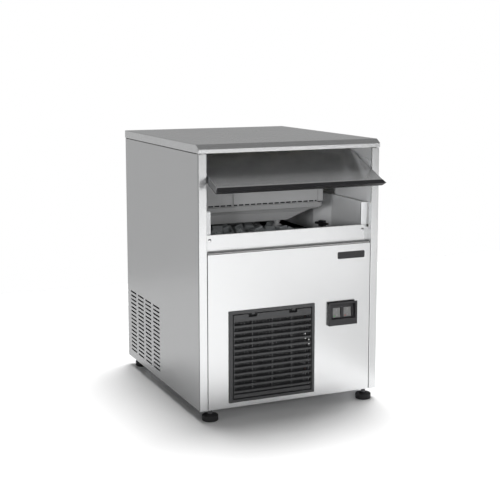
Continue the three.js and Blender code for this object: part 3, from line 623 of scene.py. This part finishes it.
# ---- ice-making unit -----------------------------------------------------------------------
# The ice is made in a box under the top of the bin. A fixed cover and a swinging curtain close
# its front, over a water sump with a sloping bottom and a short overflow spout.
unit_plastic = finish("unit_plastic", (0.38, 0.383, 0.387), 0.42, grain=(420, 420, 420),
                      relief=0.03, mottle=0.05, cloud=14, sheen_change=0.1)
cover_plastic = finish("cover_plastic", (0.38, 0.383, 0.387), 0.5, grain=(700, 700, 700),
                       relief=0.06, mottle=0.16, cloud=30, sheen_change=0.15)
tray_plastic = finish("tray_plastic", (0.31, 0.313, 0.316), 0.4, grain=(420, 420, 420),
                      relief=0.03, mottle=0.06, cloud=14, sheen_change=0.1)
RIM_HEIGHT = 12
SUMP_FRONT_WALL = 146
for node, name, material, radius, body in (
        ("evaporator_housing", "unit_housing", unit_plastic, 1.6, "cabinet"),
        ("unit_side_cover", "unit_left_cover", cover_plastic, 0.5, "cabinet"),
        ("ice_curtain", "ice_flap", unit_plastic, 0.5, "ice_curtain"),
        ("water_sump", "water_tray", tray_plastic, 1.6, "cabinet"),
        ("ice_chute", "ice_slide", unit_plastic, 0.6, "cabinet")):
    piece = from_cad(node, name)
    if node == "water_sump":
        rim = span(node)[1].z - RIM_HEIGHT
        for level in (rim, rim - 2):
            choose(piece, "FACE", lambda middle, normal: True)
            bpy.ops.mesh.bisect(plane_co=at(0, 0, level), plane_no=(0, 0, 1))
            done()
        for below, back in ((rim - 1, 6), (rim - 6, 15)):
            choose(piece, "VERT", lambda mid: mid.z < below and mid.y < SUMP_FRONT_WALL)
            bpy.ops.transform.translate(value=(0, back * MM, 0))
            done()
    round_edges(piece, radius, 3, 24)
    smooth(piece, 40)
    fit(piece, material, body, "liner_plastic", node)

SPOUT_X, SPOUT_Y = 288, 168
# A black rubber seal lies behind the covers and shows in their slots and joints.
cover_low, cover_high = span("unit_side_cover")
flap_high = span("ice_curtain")[1]
SEAL_FRONT, SEAL_BACK = 143.1, 144.4
seal = block("cover_seal", (cover_low.x + 3.3, SEAL_FRONT, cover_low.z + 0.4),
             (flap_high.x + 0.8, SEAL_BACK, cover_low.z + 6.5))
for x in (cover_high.x - 1.6, flap_high.x - 1):
    cut(seal, block("upright", (x, SEAL_FRONT, cover_low.z + 1),
                    (x + 4.2, SEAL_BACK, flap_high.z - 6)), how="UNION")
round_edges(seal, 0.3, 2)
smooth(seal)
fit(seal, rubber, "cabinet", "rubber")

spout_low = span("water_sump")[0].z
spout = turned("sump_spout", (SPOUT_X, SPOUT_Y, spout_low - 0.3),
               ((9, 0), (9, -3), (6.4, -4.2), (6.4, -9), (11, -10.5), (12.2, -12.5),
                (12.2, -16), (10.5, -18)), sides=32)
smooth(spout, 40)
fit(spout, unit_plastic, "cabinet", "liner_plastic")
rod = from_cad("curtain_rod", "flap_rod")
smooth(rod, 50)
fit(rod, bright_steel, "cabinet", "bright_steel", "curtain_rod")

# ---- ice -----------------------------------------------------------------------------------
# A store of cubes fills the lower bin: a settled mass, and over it loose cubes, each a rounded
# block with the hollow that its freezing cup leaves in one face.
ICE_TOP = 398
ICE_FALL = 0.5      # slope of the heap to the right of its edge
ICE_EDGE = 315
CUBE = 27
ice = finish("ice", (0.42, 0.44, 0.45), 0.16, grain=(60, 60, 60), relief=0.5, mottle=0.08,
             cloud=30, sheen_change=0.2, Transmission_Weight=0.3, IOR=1.31)
mass = block("ice_store", (TUB_REAR_SIDE + 1, 27, tub_floor + 1),
             (WIDTH - TUB_REAR_SIDE - 1, back_wall - 2, ICE_TOP + 10))
choose(mass, "FACE", lambda middle, normal: True)
bpy.ops.mesh.subdivide(number_cuts=15)
done()
random.seed(7)


def ice_drop(x):
    return ICE_FALL * max(0, x - ICE_EDGE)


choose(mass, "VERT", lambda mid: mid.z > ICE_TOP - 1)
for corner in bmesh.from_edit_mesh(mass.data).verts:
    if corner.select:
        across = (corner.co.x - ORIGIN.x) / MM
        corner.co.z -= (random.uniform(0, 12) + ice_drop(across)) * MM
done()
smooth(mass, 60)
fit(mass, ice, "cabinet", None)

cube = block("ice_cube", (-CUBE / 2,) * 3, (CUBE / 2,) * 3)
choose(cube, "FACE", lambda middle, normal: normal.z > 0.9)
bpy.ops.mesh.inset(thickness=5 * MM)
bpy.ops.mesh.extrude_region_move(TRANSFORM_OT_translate={"value": (0, 0, -9 * MM)})
bpy.ops.transform.resize(value=(0.6, 0.6, 1), center_override=at(0, 0, CUBE / 2))
done()
round_edges(cube, 3.2, 3, 20)
smooth(cube, 60)
cubes = []
for layer, base in enumerate((ICE_TOP, ICE_TOP + 17)):
    for column in range(13):
        for row in range(6):
            x = 52 + 33 * column + random.uniform(-6, 6)
            y = 48 + 32 * row + random.uniform(-6, 6)
            if layer and random.random() < 0.4:
                continue
            bpy.ops.object.select_all(action="DESELECT")
            cube.select_set(True)
            bpy.context.view_layer.objects.active = cube
            bpy.ops.object.duplicate()
            copy = bpy.context.object
            middle = at(x, y, base - ice_drop(x) + random.uniform(-3, 3))
            turn = Euler([random.uniform(0, math.tau) for _ in "xyz"]).to_matrix().to_4x4()
            copy.matrix_world = Matrix.Translation(middle) @ turn @ Matrix.Translation(-ORIGIN)
            bpy.ops.object.transform_apply(location=True, rotation=True, scale=True)
            cubes.append(copy)
bpy.data.objects.remove(cube)
bpy.ops.object.select_all(action="DESELECT")
for cube in cubes:
    cube.select_set(True)
bpy.ops.object.join()
cubes = bpy.context.object
cubes.name = "ice_cubes"
fit(cubes, ice, "cabinet", None)

# ---- door ----------------------------------------------------------------------------------
# The door is a folded pan of polished steel over foam, with a black lining, a black grip moulded
# along its lower edge and two rubber buffers. Its end faces take a duller, darker copy of the
# steel; the darkness is painted shade. Steel pins at its ends run in the guides. It is drawn
# hanging straight down from them, and then raised to where it rests.
tilt = next(joint for joint in frame["joints"] if joint["name"] == "door_tilt")
DOOR_RAISED = -tilt["range_deg"][0]
pin_low, pin_high = span("door_pin_left")
PIN = (pin_low + pin_high) / 2
PIN.x = WIDTH / 2
DOOR_HALF = 227.5
DOOR_FACE, DOOR_BACK = -8, 7
DOOR_TOP, DOOR_FOOT = 45, -162.5
HANDLE_NOSE = 19
HANDLE_DEPTH = 16


def hung(name, low, high):
    """A block measured from the middle of the pin axis, with the door shut."""
    return block(name, PIN + Vector(low), PIN + Vector(high))


def swing(piece, pivot, degrees):
    """Turns a piece about a line along X through a pivot, and keeps its place in its mesh."""
    centre = at(*pivot)
    piece.matrix_world = (Matrix.Translation(centre)
                          @ Matrix.Rotation(math.radians(degrees), 4, "X")
                          @ Matrix.Translation(-centre))
    bpy.ops.object.select_all(action="DESELECT")
    piece.select_set(True)
    bpy.context.view_layer.objects.active = piece
    bpy.ops.object.transform_apply(location=True, rotation=True, scale=True)


polished_steel = finish("polished_steel", (0.74, 0.745, 0.75), 0.2, metal=0.88, mottle=0.02,
                        grain=(9, 1400, 1400), relief=0.004, cloud=5, sheen_change=0.04)
# A duller, darker copy of the door's steel for its end faces: the darkness is painted shade.
door_end_shade = finish("door_end_shade", (0.17, 0.172, 0.175), 0.4, metal=0.9, mottle=0.03,
                   grain=(1400, 9, 1400), relief=0.004, cloud=5, sheen_change=0.06)
door = hung("door_pan", (-DOOR_HALF, DOOR_FACE, DOOR_FOOT), (DOOR_HALF, DOOR_BACK, DOOR_TOP))
choose(door, "FACE", lambda middle, normal: normal.y > 0.9)
bpy.ops.mesh.delete(type="FACE")
done()
round_edges(door, 2.6, 5)
thicken(door, STEEL_GAUGE)
for side in (-1, 1):
    cut(door, turned("pin_hole", PIN + Vector((side * DOOR_HALF - 9, 0, 0)),
                     ((4.8, 0), (4.8, 18)), "X", 24))
smooth(door)
swing(door, PIN, -DOOR_RAISED)
fit(door, polished_steel, "door", "polished_stainless", "door_skin")
# Faces turned to the sides take the darker copy: painted shade on the door's ends.
door.data.materials.append(door_end_shade)
for face in door.data.polygons:
    if abs(face.normal.x) > 0.8:
        face.material_index = 1

inner = hung("door_lining", (-DOOR_HALF, DOOR_BACK + 0.3, DOOR_FOOT),
             (DOOR_HALF, DOOR_BACK + 2.5, DOOR_TOP))
choose(inner, "FACE", lambda middle, normal: normal.y > 0.9)
bpy.ops.mesh.inset(thickness=9 * MM)
bpy.ops.mesh.inset(thickness=3 * MM)
bpy.ops.transform.translate(value=(0, -1.1 * MM, 0))
done()
round_edges(inner, 0.5, 2)
smooth(inner)
swing(inner, PIN, -DOOR_RAISED)
fit(inner, black_plastic, "door", "black_plastic", "door_inner_panel")

matt_black = finish("matt_black", (0.012, 0.012, 0.013), 0.55, grain=(900, 900, 900),
                    relief=0.02, sheen_change=0.1, Specular_IOR_Level=0.2)
top = DOOR_FOOT - 0.3
grip = hung("door_grip", (-DOOR_HALF, DOOR_FACE, top - HANDLE_NOSE),
            (DOOR_HALF, DOOR_FACE + HANDLE_DEPTH, top))
choose(grip, "FACE", lambda middle, normal: True)
bpy.ops.mesh.bisect(plane_co=at(*(PIN + Vector((0, DOOR_FACE, top - HANDLE_NOSE)))),
                    plane_no=(0, HANDLE_NOSE, -HANDLE_DEPTH), use_fill=True, clear_outer=True)
done()
round_edges(grip, 0.9, 3, 20)
for ridge in range(3):
    share = 0.3 + 0.2 * ridge
    y, z = DOOR_FACE + HANDLE_DEPTH * share, top - HANDLE_NOSE * (1 - share)
    cut(grip, hung("groove", (-DOOR_HALF + 14, y - 0.7, z - 1.1),
                   (DOOR_HALF - 14, y + 0.7, z + 1.1)))
smooth(grip)
swing(grip, PIN, -DOOR_RAISED)
fit(grip, matt_black, "door", "black_plastic", "door_handle")

for side, x in (("left", -181), ("right", 181)):
    buffer = turned(f"buffer_{side}", PIN + Vector((x, DOOR_BACK + 2.8, -144)),
                    ((7, 0), (7, 4), (6.4, 5.6), (4.5, 6.8), (2, 7)), "Y", 24)
    smooth(buffer, 50)
    swing(buffer, PIN, -DOOR_RAISED)
    fit(buffer, rubber, "door", "rubber", f"door_buffer_{side}")
    low, high = span(f"door_pin_{side}")
    pin = turned(f"hinge_pin_{side}", (low.x, PIN.y, PIN.z),
                 ((3.6, 0), (4.5, 0.9), (4.5, high.x - low.x - 0.9), (3.6, high.x - low.x)),
                 "X", 28)
    smooth(pin, 40)
    fit(pin, bright_steel, "door_carriage", "bright_steel", f"door_pin_{side}")

# ---- grille --------------------------------------------------------------------------------
# The air intake is a dark grey moulded frame, clipped into the front panel, round a grille that
# swings down on its lower edge. Sloping slats leave twelve gaps and a narrow last one, and three
# ribs cross behind them. Two latch tongues of the frame hold the top.
grey_plastic = finish("grey_plastic", (0.052, 0.053, 0.055), 0.42, grain=(1300, 1300, 1300),
                      relief=0.02, mottle=0.08, sheen_change=0.12)
surround = from_cad("grille_frame", "grille_surround")
round_edges(surround, 0.9, 3, 40)
smooth(surround)
fit(surround, grey_plastic, "cabinet", "dark_grey_plastic", "grille_frame")

grille_low, grille_high = span("grille")
GAPS = 12
GAP_PITCH = 15.25
GAP_HEIGHT = 9.4
TOP_GAP = 219
SLAT_RISE = 3
gap_left, gap_right = grille_low.x + 3.6, grille_high.x - 2.5
SHADOW_GAP = 1.9
LATCHES = (142.2, 254)
vents = block("grille_slats", (grille_low.x + SHADOW_GAP, grille_low.y, grille_low.z + SHADOW_GAP),
              (grille_high.x - SHADOW_GAP, grille_high.y - 0.1, grille_high.z - SHADOW_GAP))
cut(vents, block("gap", (gap_left, -9, 32), (gap_right, 12, TOP_GAP)),
    *[block("latch_gap", (x - 11.8, -9, 228.5), (x + 11.8, 12, 250)) for x in LATCHES])
slat = block("slat", (gap_left - 1, grille_low.y, TOP_GAP - GAP_PITCH * GAPS),
             (gap_right + 1, 5, TOP_GAP - GAP_PITCH * GAPS + GAP_PITCH - GAP_HEIGHT - 0.8))
choose(slat, "FACE", lambda middle, normal: normal.y > 0.9)
bpy.ops.transform.translate(value=(0, 0, SLAT_RISE * MM))
bpy.ops.transform.resize(value=(1, 1, 0.5), center_override=at(
    0, 5, TOP_GAP - GAP_PITCH * GAPS + SLAT_RISE + 3))
done()
work(slat, "ARRAY", count=GAPS, use_relative_offset=False, use_constant_offset=True,
     constant_offset_displace=(0, 0, GAP_PITCH * MM))
cut(vents, slat, how="UNION")
for share in (0.25, 0.5, 0.75):
    x = grille_low.x + (grille_high.x - grille_low.x) * share
    cut(vents, block("rib", (x - 1.5, 3, 28), (x + 1.5, 5.6, 224)), how="UNION")
round_edges(vents, 0.7, 2, 40)
smooth(vents)
fit(vents, grey_plastic, "grille_door", "dark_grey_plastic", "grille")
# A matt black block behind the two gaps round the latch tongues paints them dark: painted shade.
painted_shade_block, other = (block("latch_painted_shade_block", (x - 11.5, 4.3, 228.8), (x + 11.5, 5.8, 236))
                  for x in LATCHES)
cut(painted_shade_block, other, how="UNION")
round_edges(painted_shade_block, 0.3, 2)
smooth(painted_shade_block)
fit(painted_shade_block, matt_black, "grille_door", "black_plastic")

# The filter behind the grille is a net of black plastic strands in a thin frame.
mesh_low, mesh_high = span("air_filter")
net = block("filter_net", mesh_low, mesh_high)
cut(net, block("opening", (mesh_low.x + 6, mesh_low.y - 2, mesh_low.z + 6),
               (mesh_high.x - 6, mesh_high.y + 2, mesh_high.z - 6)))
round_edges(net, 0.8, 2)
strands = [net]
MESH_PITCH = 3
for axis, count in ((0, 66), (2, 61)):
    low = [mesh_low.x + 5, 7.6 + 0.5 * axis, mesh_low.z + 5]
    high = [mesh_high.x - 5, 8.4 + 0.5 * axis, mesh_high.z - 5]
    low[axis] += MESH_PITCH
    high[axis] = low[axis] + 1.1
    strand = block("strand", low, high)
    step = [0, 0, 0]
    step[axis] = MESH_PITCH * MM
    work(strand, "ARRAY", count=count - 1, use_relative_offset=False, use_constant_offset=True,
         constant_offset_displace=step)
    strands.append(strand)
bpy.ops.object.select_all(action="DESELECT")
for strand in strands:
    strand.select_set(True)
bpy.context.view_layer.objects.active = net
bpy.ops.object.join()
smooth(net)
fit(net, black_plastic, "grille_door", "black_plastic", "air_filter")

# ---- switches and badge --------------------------------------------------------------------
# Two grey rocker switches sit in a raised black hood. Each has a bar and a ring moulded on it and
# a small lit dot, green for running and red for rinsing.
HOOD_FACE = -5          # depth of the hood's face just under the switches
BAND = 17               # plain band under the switches
RIM = 6
hood = block("switch_hood", (hood_low.x, hood_low.y, hood_low.z), (hood_high.x, -0.3, hood_high.z))
lean = Vector((0, hood_low.z + BAND - hood_high.z, hood_low.y - HOOD_FACE))
choose(hood, "FACE", lambda middle, normal: True)
bpy.ops.mesh.bisect(plane_co=at(0, hood_low.y, hood_high.z), plane_no=lean, use_fill=True,
                    clear_inner=True)
done()
cut(hood, block("switch_body", (hood_low.x + 5.5, -1, hood_low.z + 5.5),
                (hood_high.x - 5.5, hood_high.y, hood_high.z - 5.5)), how="UNION")
round_edges(hood, 1.4, 4)
cut(hood, block("recess", (hood_low.x + RIM, -20, hood_low.z + BAND),
                (hood_high.x - RIM, -3, hood_high.z - RIM)))
for switch in ("power_switch", "wash_switch"):
    low, high = span(switch)
    cut(hood, block("window", (low.x - 1, -20, low.z - 1), (high.x + 1, 40, high.z + 1)))
smooth(hood)
fit(hood, black_plastic, "cabinet", "black_plastic", "switch_bezel")
rocker_plastic = finish("rocker_plastic", (0.20, 0.203, 0.20), 0.36, grain=(800, 800, 800),
                        relief=0.03, mottle=0.2, cloud=60, sheen_change=0.1)
mark_paint = finish("mark_paint", (0.32, 0.32, 0.32), 0.5, grain=(900, 900, 900), relief=0.004)
ROCKER_PIVOT_Y = 1.5
ROCKER_TILT = 6
ROCKER_FACE = -2.6
GREEN, RED = (0.02, 0.5, 0.06), (0.6, 0.03, 0.02)
for switch, lamp_colour in (("power_switch", GREEN), ("wash_switch", RED)):
    low, high = span(switch)
    pivot = Vector(((low.x + high.x) / 2, ROCKER_PIVOT_Y, (low.z + high.z) / 2))
    rocker = from_cad(switch, f"{switch}_cap")
    round_edges(rocker, 0.7, 3, 20)
    smooth(rocker)
    fit(rocker, rocker_plastic, switch, "switch_lens", switch)
    y = pivot.y + ROCKER_FACE
    bar = block(f"{switch}_bar", (pivot.x - 0.5, y - 0.25, pivot.z + 5),
                (pivot.x + 0.5, y + 0.9, pivot.z + 9))
    ring = turned("ring", (pivot.x, y - 0.55, pivot.z - 6.6), ((2.2, 0), (2.2, 1.2)), "Y", 28)
    cut(ring, turned("ring_hole", (pivot.x, y - 2, pivot.z - 6.6), ((1.4, 0), (1.4, 4)), "Y", 24))
    bpy.ops.object.select_all(action="DESELECT")
    ring.select_set(True)
    bar.select_set(True)
    bpy.context.view_layer.objects.active = bar
    bpy.ops.object.join()
    smooth(bar)
    swing(bar, pivot, -ROCKER_TILT)
    fit(bar, mark_paint, switch, "switch_lens")
    lamp = turned(f"{switch}_lamp", (pivot.x - 7, y - 0.85, pivot.z - 8.8),
                  ((0.9, 0), (1.3, 0.4), (1.3, 1.6)), "Y", 20)
    smooth(lamp, 50)
    swing(lamp, pivot, -ROCKER_TILT)
    fit(lamp, finish(f"{switch}_glow", lamp_colour, 0.25, grain=(500, 500, 500), relief=0.002,
                     Emission_Strength=0.15, Emission_Color=(*lamp_colour, 1)),
        switch, "switch_lens")

# The badge is an unlettered plate, with its middle sunk inside a narrow border.
badge = from_cad("badge_plate", "badge")
choose(badge, "FACE", lambda middle, normal: normal.y < -0.9)
bpy.ops.mesh.inset(thickness=1.2 * MM)
bpy.ops.mesh.inset(thickness=0.6 * MM)
bpy.ops.transform.translate(value=(0, 0.5 * MM, 0))
done()
round_edges(badge, 0.2, 2, 40)
smooth(badge)
fit(badge, black_plastic, "cabinet", "black_plastic", "badge_plate")

# ---- machine room --------------------------------------------------------------------------
# Behind the grille stand the condenser and its fan, the compressor on its rubber mounts, the
# pipes between them, the water pump and valves, and the control box. Their shapes are the
# packed ones with their edges eased, each in the finish of the real part.
copper = finish("copper", (0.72, 0.36, 0.20), 0.3, metal=1, grain=(120, 120, 120), mottle=0.15,
                relief=0.01, cloud=25, sheen_change=0.2)
aluminium = finish("aluminium", (0.45, 0.455, 0.46), 0.45, metal=1, grain=(8, 8, 1300),
                   mottle=0.05, relief=0.02)
black_paint = finish("black_paint", (0.02, 0.02, 0.022), 0.33, grain=(350, 350, 350),
                     relief=0.03, mottle=0.2)
foam = finish("foam", (0.72, 0.64, 0.38), 0.9, grain=(500, 500, 500), relief=0.4, mottle=0.12)
grey_hose = finish("grey_hose", (0.22, 0.22, 0.23), 0.5, grain=(250, 250, 250), relief=0.02)
EASED = (
    (aluminium, "tinned_plate", 0, "condenser", "evaporator_plate", "fan_blade"),
    (black_paint, "black_paint", 0.8, "fan_shroud", "fan_motor", "compressor"),
    (copper, "copper", 0, "filter_drier"),
    (black_plastic, "black_plastic", 0.8, "water_pump", "water_inlet_valve", "cord_gland"),
    (grey_hose, "dark_grey_plastic", 0.6, "drain_fitting", "spray_manifold"),
    (galvanised, "galvanised", 0.6, "control_box", "machine_room_shelf"),
)
for material, slot, radius, *members in EASED:
    for node in members:
        piece = from_cad(node, f"{node}_finished")
        if radius:
            round_edges(piece, radius, 2, 40)
        smooth(piece, 40)
        fit(piece, material, "fan" if node == "fan_blade" else "cabinet", slot, node)
for material, slot, *members in ((copper, "copper", "discharge_pipe", "liquid_pipe",
                                  "suction_pipe", "evaporator_coil"),
                                 (grey_hose, "dark_grey_plastic", "bin_drain_hose")):
    for node in members:
        piece = from_cad(node, f"{node}_finished")
        work(piece, "SUBSURF", levels=2, render_levels=2)
        smooth(piece, 60)
        fit(piece, material, "cabinet", slot, node)
for node in ("bin_insulation", "lid_insulation", "door_insulation"):
    for slot in frame["nodes"][node].material_slots:
        slot.material = foam

# ---- floor and studio --------------------------------------------------------------------------
# The machine stands on a pale, slightly glossy floor under one soft light from above. No lamp
# shows in the steel, which reflects only the room, the floor and the cards.
bpy.ops.object.select_all(action="DESELECT")
bpy.ops.mesh.primitive_plane_add(size=1, location=(2, -2.4, 0))
floor = start("studio_floor", (10, 7.6, 1))
floor.data.materials.append(finish("floor_paint", (0.92, 0.92, 0.92), 0.3, grain=(3, 3, 3),
                                   relief=0, mottle=0.005, sheen_change=0.02))

sun = bpy.data.objects.new("overhead_light", bpy.data.lights.new("overhead_light", "SUN"))
bpy.context.scene.collection.objects.link(sun)
sun.visible_glossy = False
sun.data.energy = 4.25
sun.data.angle = math.radians(34)
sun.rotation_euler = (math.radians(-13), math.radians(9), 0)

# A wide lamp in front of the machine lights the inside of the bin through its opening.
fill = bpy.data.objects.new("front_light", bpy.data.lights.new("front_light", "AREA"))
bpy.context.scene.collection.objects.link(fill)
fill.data.shape = "RECTANGLE"
fill.data.size, fill.data.size_y = 2.4, 1.2
fill.data.energy = 26
fill.location = (0.3, -3.2, 1.0)
fill.rotation_euler = (math.radians(82), 0, math.radians(5))
fill.visible_glossy = False

# A narrow beam from the left reaches into the door opening.
beam = bpy.data.objects.new("bin_light", bpy.data.lights.new("bin_light", "SPOT"))
bpy.context.scene.collection.objects.link(beam)
beam.location = (-1.7, -1.8, 0.68)
aim = Vector((0.10, -0.16, 0.52)) - beam.location
beam.rotation_euler = aim.to_track_quat("-Z", "Y").to_euler()
beam.data.energy = 78
beam.data.spot_size = math.radians(14)
beam.data.spot_blend = 0.5
beam.data.shadow_soft_size = 0.25
beam.visible_glossy = False

# Three grey cards stand and lie round the machine. They show only in its steel, and shade the
# white floor there: one upright at the right, one on the floor there and one at the left.
for name, tone, place, lean, size in (
        ("right_card", 0.5, (1.14, -0.97, 0.35), (math.pi / 2, 0, math.radians(51)), (0.77, 1)),
        ("right_floor_card", 0.55, (1.05, -1.02, 0.002), (0, 0, 0), (1.4, 1.3)),
        ("left_floor_card", 0.38, (-1.0, 0.55, 0.002), (0, 0, 0), (1.48, 1.7))):
    bpy.ops.object.select_all(action="DESELECT")
    bpy.ops.mesh.primitive_plane_add(size=1, location=place, rotation=lean)
    card = start(name, (*size, 1))
    card.data.materials.append(finish(name, (tone, tone, tone), 0.9, relief=0))
    card.visible_camera = False
    card.visible_shadow = False
    card.visible_diffuse = False

# The room is white behind the machine, has darker walls and ceiling in its reflections, and gives
# less light to matt surfaces, so that the shadow on the floor keeps its depth.
world = bpy.data.worlds.new("studio")
bpy.context.scene.world = world
world.use_nodes = True
nodes, links = world.node_tree.nodes, world.node_tree.links
direction = nodes.new("ShaderNodeTexCoord")
parts = nodes.new("ShaderNodeSeparateXYZ")
links.new(direction.outputs["Generated"], parts.inputs["Vector"])
rise = nodes.new("ShaderNodeMapRange")
rise.inputs["From Min"].default_value = -1
links.new(parts.outputs["Z"], rise.inputs["Value"])
walls = nodes.new("ShaderNodeValToRGB")
walls.color_ramp.elements[0].color = (0.45, 0.45, 0.45, 1)
walls.color_ramp.elements[0].position = 0.50
walls.color_ramp.elements[1].color = (0.20, 0.20, 0.20, 1)
walls.color_ramp.elements[1].position = 0.75
links.new(rise.outputs["Result"], walls.inputs["Fac"])
seen = nodes.new("ShaderNodeLightPath")
backdrop = nodes.new("ShaderNodeMix")
backdrop.data_type = "RGBA"
backdrop.inputs["B"].default_value = (1, 1, 1, 1)
links.new(seen.outputs["Is Camera Ray"], backdrop.inputs["Factor"])
dim = nodes.new("ShaderNodeMix")
dim.data_type = "RGBA"
dim.inputs["B"].default_value = (0.2, 0.2, 0.2, 1)
links.new(seen.outputs["Is Diffuse Ray"], dim.inputs["Factor"])
links.new(walls.outputs["Color"], dim.inputs["A"])
links.new(dim.outputs["Result"], backdrop.inputs["A"])
links.new(backdrop.outputs["Result"], nodes["Background"].inputs["Color"])
bpy.context.scene.view_settings.view_transform = "Standard"
